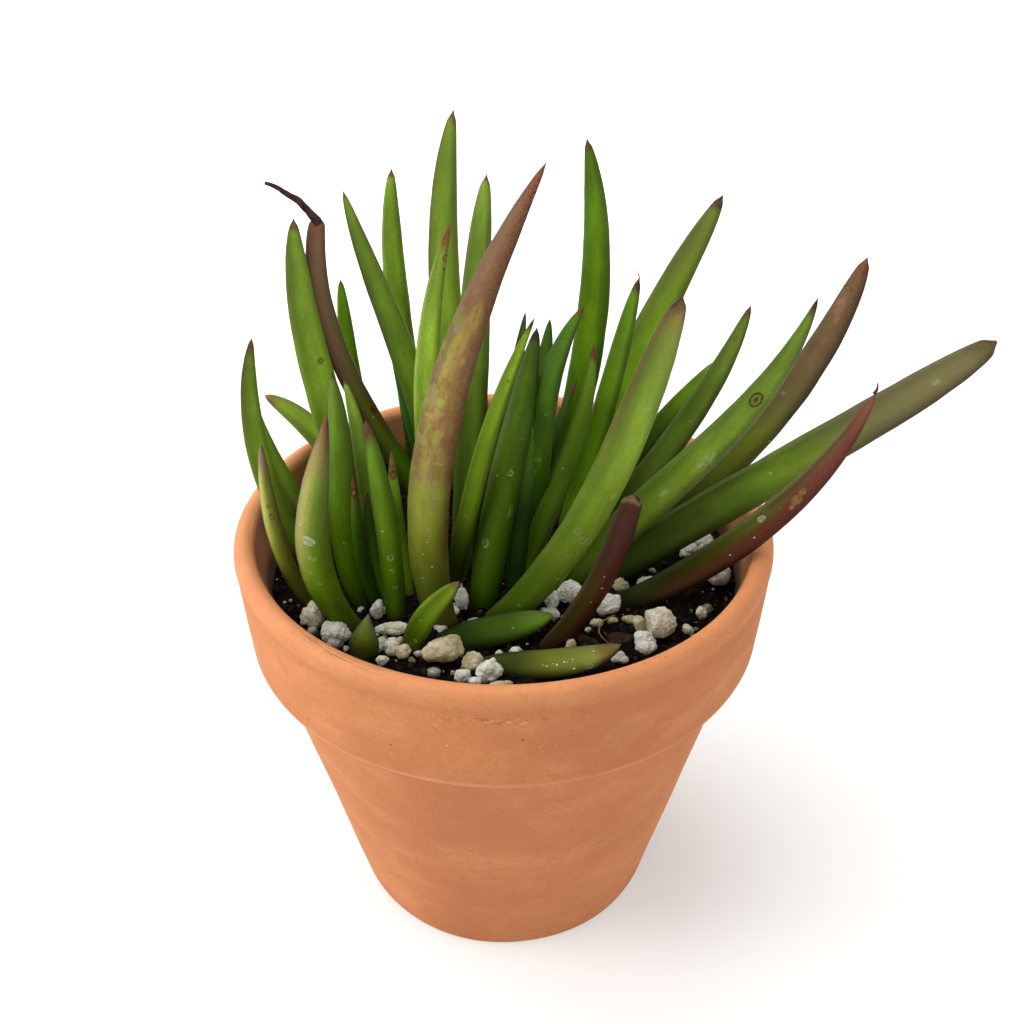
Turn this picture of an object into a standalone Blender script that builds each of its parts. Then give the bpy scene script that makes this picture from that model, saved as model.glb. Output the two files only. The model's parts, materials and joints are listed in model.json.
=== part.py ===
"""Potted crassula: a turned terracotta pot, its soil, forty-five fleshy leaves and pumice granules.

Sizes below are in millimetres and degrees, and MM turns them into metres. Every place is measured from
the pot's axis, on the surface that the pot stands on, and place_object moves it all sideways at the end.
Heading 0 points along +X and heading 90 along +Y, and a lean is measured from upright.
"""

import math
from collections import namedtuple

import bmesh
import bpy
from mathutils import Matrix, Vector

MM = 0.001
TURN = math.tau
POT_X = -18.6               # the leaves lean right, so the middle of the whole plant is right of the pot

for leftover in list(bpy.data.objects):
    bpy.data.objects.remove(leftover, do_unlink=True)


# ---------------------------------------------------------------- shared tools

def finish(name, colour, roughness):
    """A plain Principled material of its own for one object."""
    material = bpy.data.materials.new(name)
    material.use_nodes = True
    shader = material.node_tree.nodes["Principled BSDF"]
    shader.inputs["Base Color"].default_value = (*colour, 1.0)
    shader.inputs["Roughness"].default_value = roughness
    shader.inputs["Metallic"].default_value = 0.0
    return material


def place_object(name, mesh_builder, material):
    """Turns a finished bmesh into a named object with outward faces, at the pot's place."""
    bmesh.ops.recalc_face_normals(mesh_builder, faces=mesh_builder.faces)
    bmesh.ops.translate(mesh_builder, verts=mesh_builder.verts, vec=(POT_X * MM, 0.0, 0.0))
    mesh = bpy.data.meshes.new(name)
    mesh_builder.to_mesh(mesh)
    mesh_builder.free()
    mesh.shade_smooth()
    mesh.set_sharp_from_angle(angle=math.radians(40))
    body = bpy.data.objects.new(name, mesh)
    bpy.context.collection.objects.link(body)
    if material:
        mesh.materials.append(material)
    return body


def turn_profile(points, steps, closed):
    """Turns (radius, height) points about the Z axis into a surface."""
    turned = bmesh.new()
    ring = [turned.verts.new((radius * MM, 0.0, height * MM)) for radius, height in points]
    pairs = list(zip(ring, ring[1:]))
    if closed:
        pairs.append((ring[-1], ring[0]))
    edges = [turned.edges.new(pair) for pair in pairs]
    bmesh.ops.spin(turned, geom=ring + edges, cent=(0, 0, 0), axis=(0, 0, 1),
                   angle=TURN, steps=steps, use_merge=True)
    bmesh.ops.remove_doubles(turned, verts=turned.verts, dist=0.001 * MM)
    return turned


def arc(centre_radius, centre_height, radius, start, end, steps):
    """Points on a round of the profile, from angle start to angle end."""
    points = []
    for step in range(steps + 1):
        angle = math.radians(start + (end - start) * step / steps)
        points.append((centre_radius + radius * math.cos(angle),
                       centre_height + radius * math.sin(angle)))
    return points


def heading_vector(heading, rise):
    """Unit vector towards a heading, raised by an angle from the level."""
    heading, rise = math.radians(heading), math.radians(rise)
    return Vector((math.cos(heading) * math.cos(rise), math.sin(heading) * math.cos(rise), math.sin(rise)))


# ---------------------------------------------------------------- terracotta pot

POT_HEIGHT = 93.0
RIM_RADIUS = 54.0           # outside of the collar at its top
COLLAR_HEIGHT = 23.0
COLLAR_FOOT_RADIUS = 53.0   # outside of the collar at its lower edge
NECK_RADIUS = 49.5          # outside of the body just under the collar
BASE_RADIUS = 35.5
LIP_ROUND = 2.2
INNER_LIP_RADIUS = 49.7
INNER_NECK_RADIUS = 45.6    # inside, level with the collar's lower edge
INNER_FLOOR_RADIUS = 31.0
FLOOR_THICKNESS = 7.0
COLLAR_FOOT = POT_HEIGHT - COLLAR_HEIGHT
EDGE_ROUND = 1.2
NECK_FILLET = 0.8           # small hollow where the body meets the collar
INNER_CORNER = 3.0          # chamfer between the floor and the inside wall
DRAIN_RADIUS = 6.5
DRAIN_CHAMFER = 0.6
POT_STEPS = 64


def build_pot():
    """The turned pot: drain hole, foot, body, collar, rounded lip and the inside wall."""
    inner_round = RIM_RADIUS - LIP_ROUND - INNER_LIP_RADIUS
    profile = [(DRAIN_RADIUS, FLOOR_THICKNESS),
               (DRAIN_RADIUS + DRAIN_CHAMFER, DRAIN_CHAMFER),
               (DRAIN_RADIUS + 2 * DRAIN_CHAMFER, 0.0)]
    profile += arc(BASE_RADIUS - EDGE_ROUND, EDGE_ROUND, EDGE_ROUND, -90, -10, 2)
    profile += [(NECK_RADIUS, COLLAR_FOOT - NECK_FILLET), (NECK_RADIUS + NECK_FILLET, COLLAR_FOOT)]
    profile += arc(COLLAR_FOOT_RADIUS - EDGE_ROUND, COLLAR_FOOT + EDGE_ROUND, EDGE_ROUND, -90, 0, 2)
    profile += arc(RIM_RADIUS - LIP_ROUND, POT_HEIGHT - LIP_ROUND, LIP_ROUND, 0, 90, 4)
    profile += arc(INNER_LIP_RADIUS + inner_round, POT_HEIGHT - inner_round, inner_round, 100, 180, 2)
    profile += [(INNER_NECK_RADIUS, COLLAR_FOOT),
                (INNER_FLOOR_RADIUS, FLOOR_THICKNESS + INNER_CORNER),
                (INNER_FLOOR_RADIUS - INNER_CORNER, FLOOR_THICKNESS)]
    pot = turn_profile(profile, POT_STEPS, closed=True)
    return place_object("pot", pot, finish("pot", (0.62, 0.24, 0.10), 0.85))


def inner_radius(height):
    """Inside radius of the pot between its neck and its lip."""
    share = (height - COLLAR_FOOT) / (POT_HEIGHT - LIP_ROUND - COLLAR_FOOT)
    return INNER_NECK_RADIUS + (INNER_LIP_RADIUS - INNER_NECK_RADIUS) * share


# ---------------------------------------------------------------- leaves

SOIL_LEVEL = 81.0           # where the leaves leave the soil, 12 below the rim
ROOTED_DEPTH = 3.0          # how far each leaf goes on below the soil
ROOTED_SIZE = 0.7           # its lower end, against its size at the soil
SEAT_GAP = 0.3              # clear space between a leaf, a lump or the pot and the soil
LEAF_SIDES = 8
RING_SPACING = 9.0          # along the leaf
LAST_RING = 0.35            # of a ring spacing, between the last ring and the tip
ROUTE_STEPS = 8             # short straight steps from one ring to the next
BASE_WIDTH = 0.82           # width at the soil, against the widest
FULL_FROM = 0.3             # share of the length where the leaf reaches its full width
TAPER_FROM = 0.35           # share of the length where it starts to narrow
THICKNESS_SHARE = 0.45      # of the width
THICKNESS_LEAST = 0.6

Leaf = namedtuple("Leaf", "name x y heading lean_base lean_middle lean_tip length width facing"
                          " face_up blunt cut tint", defaults=(0, 0.0, 1.0, "green"))

# x and y are where the leaf leaves the soil, and its lean changes smoothly from base to middle to tip.
# facing is the heading that its channelled upper face looks towards, and face_up how far that face is
# tilted up. blunt rounds the tip, and cut is the share of the blade left on a leaf that lost its tip.
LEAVES = [
    # left edge of the clump, against the pot wall
    Leaf("leaf_left_edge", -41, -1, 180, 23, 6, -15, 51, 4.5, -60),
    Leaf("leaf_left_edge_back", -39, 6, 175, 21, 20, -2, 36, 4.0, -50),
    Leaf("leaf_left_front_slim", -38, -15, 180, 26, 6, -3, 38, 4.0, 70, tint="olive"),
    Leaf("leaf_left_low", -33, 24, 165, 20, 41, 69, 32, 5.0, -60, 40),
    Leaf("leaf_left_tan", -27, -22, 175, 37, 1, -23, 48, 6.5, 60, blunt=0.3, tint="tan"),
    Leaf("leaf_left_broad", -27, -17, 160, 11, -1, 8, 52, 5.5, 75),
    Leaf("leaf_left_strip", -26, 1, 150, 8, 5, 16, 41, 4.0, -70),
    Leaf("leaf_left_rust_tip_high", -26, -12, 145, 25, 2, 0, 30, 3.0, 70),
    Leaf("leaf_left_rust_tip_low", -23, -15, 130, 30, 8, -10, 25, 3.0, 80),
    Leaf("leaf_left_round_tip", -21, -19, 115, -7, 12, 36, 41, 4.5, 85, blunt=0.5),
    Leaf("leaf_left_rust_tip_inner", -19, -12, 120, 19, 5, -3, 32, 3.0, 85),
    # left and back
    Leaf("leaf_back_left_tall", -33, 15, 165, 4, 9, -2, 67, 6.0, -60),
    Leaf("leaf_back_left_withered", -15, 16, 170, 28, 21, -9, 69, 4.5, -70, blunt=0.9, tint="wine"),
    Leaf("leaf_back_left_narrow", -27, 24, 150, 22, 7, 0, 51, 3.5, -60),
    Leaf("leaf_back_left_long", -17, 22, 165, -7, 17, 13, 71, 6.0, -70),
    Leaf("leaf_back_left_blue", -16, 27, 170, 20, 11, 18, 36, 4.0, -70),
    Leaf("leaf_back_left_upright", -19, 30, 130, 3, 7, -11, 72, 4.5, -80),
    # middle and back
    Leaf("leaf_back_tallest", -10, 28, 180, 1, 2, -12, 83, 6.5, -85),
    Leaf("leaf_middle_light", -14, 11, 50, -7, 3, 29, 68, 5.5, -80),
    Leaf("leaf_middle_slim", -8, -4, 70, 18, 8, 23, 79, 5.5, -95),
    Leaf("leaf_back_right_tall", 10, 23, 50, 30, 8, -21, 82, 6.0, -110),
    Leaf("leaf_middle_low_left", -1, 5, 75, 11, 26, 38, 50, 4.0, -80),
    Leaf("leaf_middle_low_right", 4, 8, 70, 20, 20, 20, 47, 4.0, -100),
    Leaf("leaf_middle_small", -5, -6, 65, -3, 22, 54, 42, 3.0, -90),
    # front of the clump
    Leaf("leaf_front_red", -12, -22, 30, -14, 16, 33, 90, 7.0, 80, tint="wine"),
    Leaf("leaf_front_leaning", -9, -15, 35, -12, 17, 52, 61, 4.5, -100),
    Leaf("leaf_front_centre", -4, -15, 60, 13, 25, 20, 55, 7.0, 95, blunt=0.3),
    Leaf("leaf_front_dark", 2, -12, 70, 13, 18, 19, 35, 4.0, -100),
    Leaf("leaf_front_hooked", 3, -4, 35, 20, 6, 41, 57, 4.0, -110),
    Leaf("leaf_front_bright", 3, -9, 35, 23, 23, -1, 52, 4.5, -115),
    Leaf("leaf_front_tiny_tip", 6, 1, 45, -1, 19, 37, 39, 3.0, -110),
    Leaf("leaf_front_broad", 1, -19, 10, 42, 23, 19, 71, 8.5, 110, blunt=0.8),
    Leaf("leaf_front_stub", 9, -27, 10, 27, 24, 24, 35, 5.0, 100, blunt=0.4, cut=0.8, tint="wine"),
    Leaf("leaf_front_flat_upper", -7, -26, 5, 77, 77, 75, 17, 6.0, -90, 50, 0.3),
    Leaf("leaf_front_flat_lower", 4, -34, -10, 80, 67, 55, 19, 5.5, -90, 50, 0.3),
    Leaf("leaf_front_sprout", -17, -29, 5, 10, 34, 45, 18, 3.5, -100),
    Leaf("leaf_front_corner_sprout", -26, -30, 60, 13, 19, 25, 8, 5.5, 80),
    # right of the clump, leaning out over the rim
    Leaf("leaf_right_hair_tip", 14, 14, 35, 23, 16, 15, 55, 4.5, -115),
    Leaf("leaf_right_upper_long", 16, 21, 30, 18, 30, 34, 73, 6.5, -110),
    Leaf("leaf_right_middle", 19, 8, 25, 45, 38, 17, 59, 5.5, -115),
    Leaf("leaf_right_middle_back", 20, 15, 30, 30, 46, 47, 43, 5.0, -110),
    Leaf("leaf_right_long", 14, -7, 10, 36, 43, 12, 73, 7.5, -110, 20),
    Leaf("leaf_right_brown", 25, 4, 20, 61, 40, 18, 78, 6.5, -110, 20, 0.3, tint="wine"),
    Leaf("leaf_right_farthest", 21, -5, 5, 52, 57, 51, 86, 8.0, -100, 30, 0.6),
    Leaf("leaf_right_red", 25, -14, 0, 61, 42, 16, 63, 6.0, -95, 30, tint="wine"),
]

# The withered leaf's tip dried into a thin curl: length, lean and radius of each stretch of it.
WITHERED_LEAF = "leaf_back_left_withered"
DRY_CURL = [(3.0, 30, 0.75), (4.0, 50, 0.65), (4.0, 42, 0.6), (3.0, 55, 0.5)]
DRY_CURL_HEADING = 180
DRY_CURL_POINT = 0.5

LEAF_COLOURS = {
    "green": (0.13, 0.26, 0.03),
    "olive": (0.22, 0.25, 0.06),
    "tan": (0.38, 0.33, 0.15),
    "wine": (0.24, 0.08, 0.05),
}


def leaf_direction(leaf, share):
    """Unit vector along the leaf at a share of its length, its lean read through three given leans."""
    lean = (leaf.lean_base * (1 - share) * (1 - 2 * share)
            + leaf.lean_middle * 4 * share * (1 - share)
            + leaf.lean_tip * share * (2 * share - 1))
    return heading_vector(leaf.heading, 90 - lean)


def leaf_route(leaf, count):
    """Points and directions along the leaf, from the soil to its tip."""
    steps = count * ROUTE_STEPS
    point = Vector((leaf.x, leaf.y, SOIL_LEVEL))
    route = [(point.copy(), leaf_direction(leaf, 0.0))]
    for step in range(1, steps + 1):
        point += leaf_direction(leaf, (step - 0.5) / steps) * (leaf.length / steps)
        if step % ROUTE_STEPS == 0:
            route.append((point.copy(), leaf_direction(leaf, step / steps)))
    return route


def leaf_halves(leaf, share, extra=0.0):
    """Half the width and half the thickness at a share of the length: a short swell, then a long taper."""
    along = share * leaf.cut
    swell = BASE_WIDTH + (1 - BASE_WIDTH) * math.sin(min(along / FULL_FROM, 1.0) * TURN / 4)
    past = max(0.0, (along - TAPER_FROM) / (1 - TAPER_FROM))
    taper = (1 - past ** (2 + leaf.blunt)) ** (0.7 - 0.2 * leaf.blunt)
    thickness = THICKNESS_SHARE * leaf.width + THICKNESS_LEAST
    return leaf.width * swell * taper / 2 + extra, thickness * swell * taper / 2 + extra


def leaf_ring(builder, leaf, point, direction, halves):
    """One ring of the leaf: an oval square to its direction, its broad side turned to the facing."""
    across = direction.cross(heading_vector(leaf.facing, leaf.face_up)).normalized()
    upward = direction.cross(across)
    half_width, half_thickness = halves
    ring = []
    for side in range(LEAF_SIDES):
        angle = TURN * side / LEAF_SIDES
        offset = across * (half_width * math.cos(angle)) + upward * (half_thickness * math.sin(angle))
        ring.append(builder.verts.new((point + offset) * MM))
    return ring


def bridge(builder, lower, upper):
    """Quads between two rings of the same count."""
    count = len(lower)
    for side in range(count):
        following = (side + 1) % count
        builder.faces.new((lower[side], lower[following], upper[following], upper[side]))


def start_leaf(builder, leaf, extra=0.0):
    """The closed lower end of a leaf, below the soil."""
    direction = leaf_direction(leaf, 0.0)
    end = Vector((leaf.x, leaf.y, SOIL_LEVEL)) - direction * (ROOTED_DEPTH + extra)
    halves = [half * ROOTED_SIZE + extra for half in leaf_halves(leaf, 0.0)]
    ring = leaf_ring(builder, leaf, end, direction, halves)
    builder.faces.new(list(reversed(ring)))
    return ring


def close_to_point(builder, ring, point):
    """A fan of triangles from a ring to a point."""
    apex = builder.verts.new(point * MM)
    for side in range(len(ring)):
        builder.faces.new((ring[side], ring[(side + 1) % len(ring)], apex))


def add_dry_curl(builder, leaf, ring, point):
    """Goes on from the blade's last ring as the thin dried tip, and closes it."""
    for length, lean, radius in DRY_CURL:
        direction = heading_vector(DRY_CURL_HEADING, 90 - lean)
        point = point + direction * length
        following = leaf_ring(builder, leaf, point, direction, (radius, radius))
        bridge(builder, ring, following)
        ring = following
    close_to_point(builder, ring, point + direction * DRY_CURL_POINT)


def build_leaf(leaf):
    """Sweeps the leaf's oval along its route, from its rooted end to its tip."""
    count = max(3, round(leaf.length / RING_SPACING))
    route = leaf_route(leaf, count)
    last_share = 1 - LAST_RING / count
    tip, tip_direction = route[-1]
    near_tip = tip - tip_direction * (leaf.length * (1 - last_share))
    stations = [(index / count, point, direction) for index, (point, direction) in enumerate(route[:-1])]
    stations.append((last_share, near_tip, tip_direction))
    builder = bmesh.new()
    ring = start_leaf(builder, leaf)
    for share, point, direction in stations:
        following = leaf_ring(builder, leaf, point, direction, leaf_halves(leaf, share))
        bridge(builder, ring, following)
        ring = following
    if leaf.name == WITHERED_LEAF:
        add_dry_curl(builder, leaf, ring, near_tip)
    else:
        close_to_point(builder, ring, tip)
    return place_object(leaf.name, builder, finish(leaf.name, LEAF_COLOURS[leaf.tint], 0.42))


def build_leaf_socket(leaf):
    """Cutter for the leaf's place in the soil, one gap wider than the leaf all round."""
    shortest_reach = 5.0
    socket_height = 4.5
    slant_reach = socket_height * math.tan(math.radians(leaf.lean_base))
    reach = min(max(shortest_reach, slant_reach), 0.9 * leaf.length)
    direction = leaf_direction(leaf, 0.0)
    start = Vector((leaf.x, leaf.y, SOIL_LEVEL))
    builder = bmesh.new()
    ring = start_leaf(builder, leaf, SEAT_GAP)
    for distance in (0.0, reach / 2, reach):
        halves = leaf_halves(leaf, distance / leaf.length, SEAT_GAP)
        following = leaf_ring(builder, leaf, start + direction * distance, direction, halves)
        bridge(builder, ring, following)
        ring = following
    builder.faces.new(ring)
    return builder


# ---------------------------------------------------------------- granules

Granule = namedtuple("Granule", "name x y long wide high heading seed")

LUMP_SHOWS = 0.32           # its middle's height above the soil, as a share of its height

# Pumice lumps that lie on the soil. long, wide and high are their overall sizes.
GRANULES = [
    Granule("granule_left_wall", -36.5, -20, 5.8, 5.4, 5.0, 20, 1),
    Granule("granule_left_lump", -31.5, -25.5, 6.0, 5.6, 5.0, -15, 2),
    Granule("granule_left_slab", -21, -24, 6.8, 3.4, 3.4, 5, 3),
    Granule("granule_front_big", -11, -31, 8.2, 5.6, 5.4, 10, 4),
    Granule("granule_front_round", -5.5, -32.5, 4.2, 4.0, 4.0, 0, 5),
    Granule("granule_front_pale", -2.5, -36, 5.0, 4.2, 4.6, 40, 6),
    Granule("granule_middle_white", 13, -14, 5.2, 4.8, 5.0, 0, 7),
    Granule("granule_middle_small", 20.5, -17, 5.0, 4.6, 4.8, 30, 8),
    Granule("granule_right_cream", 23.5, -9.5, 3.6, 3.4, 3.6, 0, 9),
    Granule("granule_right_blue", 28.5, -9.5, 3.4, 3.2, 4.4, 10, 10),
    Granule("granule_right_big", 30, -23.5, 6.2, 5.8, 6.0, 0, 11),
    Granule("granule_right_front", 26.5, -28.5, 4.8, 4.4, 4.4, -20, 12),
    Granule("granule_right_wall", 43, -8.5, 5.4, 5.0, 5.8, 15, 13),
]


def soil_height(x, y):
    """Height of the soil's uneven top at a place."""
    broad = 0.5 * math.sin(0.16 * x + 1.0) * math.cos(0.14 * y)
    fine = 0.3 * math.sin(0.31 * x - 0.23 * y)
    return SOIL_LEVEL + broad + fine


def build_lump(granule, extra=0.0):
    """A worn lump: a ball pressed to its three sizes, with low bumps that differ by its seed."""
    builder = bmesh.new()
    bmesh.ops.create_icosphere(builder, subdivisions=2, radius=1.0)
    phase = granule.seed * 1.7
    turn = Matrix.Rotation(math.radians(granule.heading), 3, "Z")
    sizes = Vector((granule.long, granule.wide, granule.high)) / 2
    rise = soil_height(granule.x, granule.y) + LUMP_SHOWS * granule.high
    centre = Vector((granule.x, granule.y, rise))
    for vert in builder.verts:
        way = vert.co.normalized()
        bump = 0.95 + 0.07 * math.sin(3.1 * way.x + phase) + 0.06 * math.sin(3.7 * way.y + 2 * phase)
        bump -= 0.05 * math.cos(4.3 * way.z + 3 * phase)
        local = way * sizes * bump + way * extra
        vert.co = (centre + turn @ local) * MM
    return builder


# ---------------------------------------------------------------- soil

SOIL_STEPS = 48
SOIL_EDGE = 0.8             # how much lower the soil's top is where it meets the pot
SOIL_RINGS = (0.98, 0.84, 0.68, 0.52, 0.36, 0.18, 0.0)


def join_cutters(builders):
    """One mesh of all the cutters, each still a closed shape of its own."""
    joined = bmesh.new()
    for builder in builders:
        bmesh.ops.recalc_face_normals(builder, faces=builder.faces)
        mesh = bpy.data.meshes.new("cutter")
        builder.to_mesh(mesh)
        builder.free()
        joined.from_mesh(mesh)
        bpy.data.meshes.remove(mesh)
    cutters = place_object("soil_sockets", joined, None)
    cutters.hide_render = True
    cutters.display_type = "WIRE"
    return cutters


def build_soil():
    """The root ball of dark soil, a gap inside the pot, with a socket for each leaf and lump."""
    floor = FLOOR_THICKNESS + SEAT_GAP
    top_radius = inner_radius(SOIL_LEVEL) - 2 * SEAT_GAP
    profile = [(0.0, floor),
               (INNER_FLOOR_RADIUS - INNER_CORNER - SEAT_GAP, floor),
               (INNER_FLOOR_RADIUS - 2 * SEAT_GAP, FLOOR_THICKNESS + INNER_CORNER + SEAT_GAP),
               (INNER_NECK_RADIUS - 2 * SEAT_GAP, COLLAR_FOOT),
               (top_radius, SOIL_LEVEL - SOIL_EDGE)]
    profile += [(top_radius * share, SOIL_LEVEL) for share in SOIL_RINGS]
    soil = turn_profile(profile, SOIL_STEPS, closed=False)
    for vert in soil.verts:
        x, y, z = vert.co / MM
        if z > SOIL_LEVEL - SOIL_EDGE / 2:
            vert.co.z = soil_height(x, y) * MM
    bmesh.ops.triangulate(soil, faces=soil.faces)
    body = place_object("soil", soil, finish("soil", (0.025, 0.018, 0.014), 0.95))
    leaf_sockets = [build_leaf_socket(leaf) for leaf in LEAVES]
    lump_sockets = [build_lump(granule, SEAT_GAP) for granule in GRANULES]
    cut = body.modifiers.new("sockets", "BOOLEAN")
    cut.operation = "DIFFERENCE"
    cut.solver = "EXACT"
    cut.use_self = True
    cut.object = join_cutters(leaf_sockets + lump_sockets)
    return body


# ---------------------------------------------------------------- the whole plant

build_pot()
build_soil()
for leaf in LEAVES:
    build_leaf(leaf)
for granule in GRANULES:
    place_object(granule.name, build_lump(granule), finish(granule.name, (0.72, 0.66, 0.54), 0.95))
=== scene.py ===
"""Potted crassula: a worn terracotta pot, dark soil with pumice, and forty-five fleshy leaves.

Lengths in the tables are millimetres from the pot's axis, and angles are degrees. The finished
meshes are in metres.
"""
import json
import math
from collections import namedtuple
from functools import partial, partialmethod

import bmesh
import bpy
from mathutils import Matrix, Vector, noise

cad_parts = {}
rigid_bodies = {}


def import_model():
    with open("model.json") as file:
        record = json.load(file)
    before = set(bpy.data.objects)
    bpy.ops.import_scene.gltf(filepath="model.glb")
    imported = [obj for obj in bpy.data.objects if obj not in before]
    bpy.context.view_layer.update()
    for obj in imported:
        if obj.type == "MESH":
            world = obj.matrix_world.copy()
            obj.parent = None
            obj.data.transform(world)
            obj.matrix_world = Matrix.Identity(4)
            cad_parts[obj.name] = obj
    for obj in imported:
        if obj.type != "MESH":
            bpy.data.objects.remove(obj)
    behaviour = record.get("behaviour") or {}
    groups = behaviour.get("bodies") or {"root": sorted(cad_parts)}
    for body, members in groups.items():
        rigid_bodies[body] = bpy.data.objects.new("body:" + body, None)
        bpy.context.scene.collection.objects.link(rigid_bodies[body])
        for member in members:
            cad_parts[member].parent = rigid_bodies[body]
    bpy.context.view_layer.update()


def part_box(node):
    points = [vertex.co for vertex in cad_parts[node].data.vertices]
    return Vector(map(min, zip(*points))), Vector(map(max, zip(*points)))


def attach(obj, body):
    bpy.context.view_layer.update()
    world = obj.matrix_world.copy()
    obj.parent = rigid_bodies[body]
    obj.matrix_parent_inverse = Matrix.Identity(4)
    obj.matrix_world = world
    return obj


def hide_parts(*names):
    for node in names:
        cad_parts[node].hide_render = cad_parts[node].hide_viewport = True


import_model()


# ------------------------------------------------------------------------------------------------
# The pot: one piece of unglazed red clay, pressed and turned, with a deep collar and a rounded lip.
# Water and handling have left fine wheel lines, pinholes, pale grains and a few sooty rubs on it.
# ------------------------------------------------------------------------------------------------

MM = 0.001
pot_low, pot_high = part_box("pot")
POT_X = (pot_low.x + pot_high.x) / 2 / MM
POT_HEIGHT = pot_high.z / MM
RIM_RADIUS = (pot_high.x - pot_low.x) / 2 / MM
COLLAR_FOOT = POT_HEIGHT - 23.0
COLLAR_FOOT_RADIUS = 53.0
NECK_RADIUS = 49.5
BASE_RADIUS = 35.5
LIP_ROUND = 2.2
INNER_LIP_RADIUS = 49.7
INNER_NECK_RADIUS = 45.6
INNER_FLOOR_RADIUS = 31.0
FLOOR_THICKNESS = 7.0
HOLE_RADIUS = 6.5
GROOVE_UNDER_RIM = 4.6
GROOVE_RADIUS = 53.55
OUT_OF_TRUE = 0.22
SOIL_LEVEL = 81.0
POT_STEPS = 200
CLAY = (0.62, 0.238, 0.084)
CLAY_PALE = (0.77, 0.345, 0.138)
CLAY_DEEP = (0.46, 0.156, 0.054)
# the pale colour of the painted highlight along the collar's rounded foot
CLAY_EDGE_HIGHLIGHT = (0.84, 0.47, 0.27)
CLAY_INSIDE = (0.36, 0.150, 0.065)
CLAY_DAMP = (0.085, 0.038, 0.020)
CLAY_GRAIN = (0.88, 0.60, 0.40)
PINHOLE = (0.16, 0.050, 0.028)
SOOT = (0.075, 0.050, 0.032)


class Wire:
    """A node's output. Arithmetic on wires adds Math nodes, and node() adds any other node to the tree."""

    def __init__(self, tree, socket=None):
        self.tree = tree
        self.socket = socket

    def node(self, kind, sockets=None, output=0, **settings):
        made = self.tree.nodes.new(kind)
        for setting, value in settings.items():
            setattr(made, setting, value)
        for place, value in (sockets or {}).items():
            if isinstance(value, Wire):
                self.tree.links.new(value.socket, made.inputs[place])
            else:
                made.inputs[place].default_value = value
        return Wire(self.tree, made.outputs[output])

    def math(self, operation, *others):
        return self.node("ShaderNodeMath", dict(enumerate((self, *others))), operation=operation)

    def math_after(self, operation, other):
        """The same with the other number first."""
        return self.node("ShaderNodeMath", {0: other, 1: self}, operation=operation)

    __add__, __radd__ = partialmethod(math, "ADD"), partialmethod(math_after, "ADD")
    __sub__, __rsub__ = partialmethod(math, "SUBTRACT"), partialmethod(math_after, "SUBTRACT")
    __mul__, __rmul__ = partialmethod(math, "MULTIPLY"), partialmethod(math_after, "MULTIPLY")
    __truediv__, __rtruediv__ = partialmethod(math, "DIVIDE"), partialmethod(math_after, "DIVIDE")
    __pow__ = partialmethod(math, "POWER")
    at_least, at_most = partialmethod(math, "MAXIMUM"), partialmethod(math, "MINIMUM")

    def rise(self, low, high):
        """0 up to low and 1 from high on, smooth between them. A low above high makes it fall."""
        return self.node("ShaderNodeMapRange", {0: self, 1: low, 2: high}, interpolation_type="SMOOTHSTEP")

    def between(self, low, full, fading, gone):
        """0 up to low, 1 from full to fading, and 0 again from gone on."""
        return self.rise(low, full) * self.rise(gone, fading)

    def mix(self, first, second):
        """The first colour where this mask is 0, and the second where it is 1.

        The node's colour sockets share their names with others, so they are numbered here.
        """
        first, second = (colour if isinstance(colour, Wire) else (*colour, 1.0) for colour in (first, second))
        return self.node("ShaderNodeMix", {0: self, 6: first, 7: second}, 2, data_type="RGBA")

    def vector(self, operation, *others):
        return self.node("ShaderNodeVectorMath", dict(enumerate((self, *others))), operation=operation)

    def scaled(self, factor):
        return self.node("ShaderNodeVectorMath", {0: self, 3: factor}, operation="SCALE")

    def length(self):
        return self.node("ShaderNodeVectorMath", {0: self}, "Value", operation="LENGTH")

    def part(self, axis):
        """One component of a vector."""
        return self.node("ShaderNodeSeparateXYZ", {0: self}, axis)

    def cloud(self, scale, detail=3.0, roughness=0.5):
        """Soft noise between 0 and 1 on this vector."""
        return self.node("ShaderNodeTexNoise", {"Vector": self, "Scale": scale, "Detail": detail,
                                                "Roughness": roughness})

    def dots(self, scale, size, share):
        """Round dots, of a size in cells, in that share of the cells."""
        cells = {"Vector": self, "Scale": scale}
        distance = self.node("ShaderNodeTexVoronoi", cells)
        chance = self.node("ShaderNodeTexVoronoi", cells, "Color").part(0)
        return distance.rise(size, size * 0.6) * chance.rise(share, share * 0.9)

    def shove(self, scale, detail, reach):
        """A push that changes from place to place, up to half the reach along each axis."""
        rough = self.node("ShaderNodeTexNoise", {"Vector": self, "Scale": scale, "Detail": detail}, "Color")
        return rough.vector("SUBTRACT", (0.5, 0.5, 0.5)).scaled(reach)


def together(first, second, third):
    """A vector wire from three numbers or wires, of which one at least is a wire."""
    wire = next(value for value in (first, second, third) if isinstance(value, Wire))
    return wire.node("ShaderNodeCombineXYZ", {0: first, 1: second, 2: third})


def from_axis(start):
    """The shaded point in metres, measured from the foot of the pot's axis."""
    return start.node("ShaderNodeTexCoord", output="Object").vector("SUBTRACT", (POT_X * MM, 0.0, 0.0))


def dimmed(colour, share):
    """A darker colour, or a lighter one where the share is above 1."""
    return tuple(part * share for part in colour)


def painted(colour, *layers):
    """A colour with layers over it, each as its mask, how strong it is, and its own colour."""
    for mask, strength, shade in layers:
        colour = (mask * strength).mix(colour, shade)
    return colour


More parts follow.
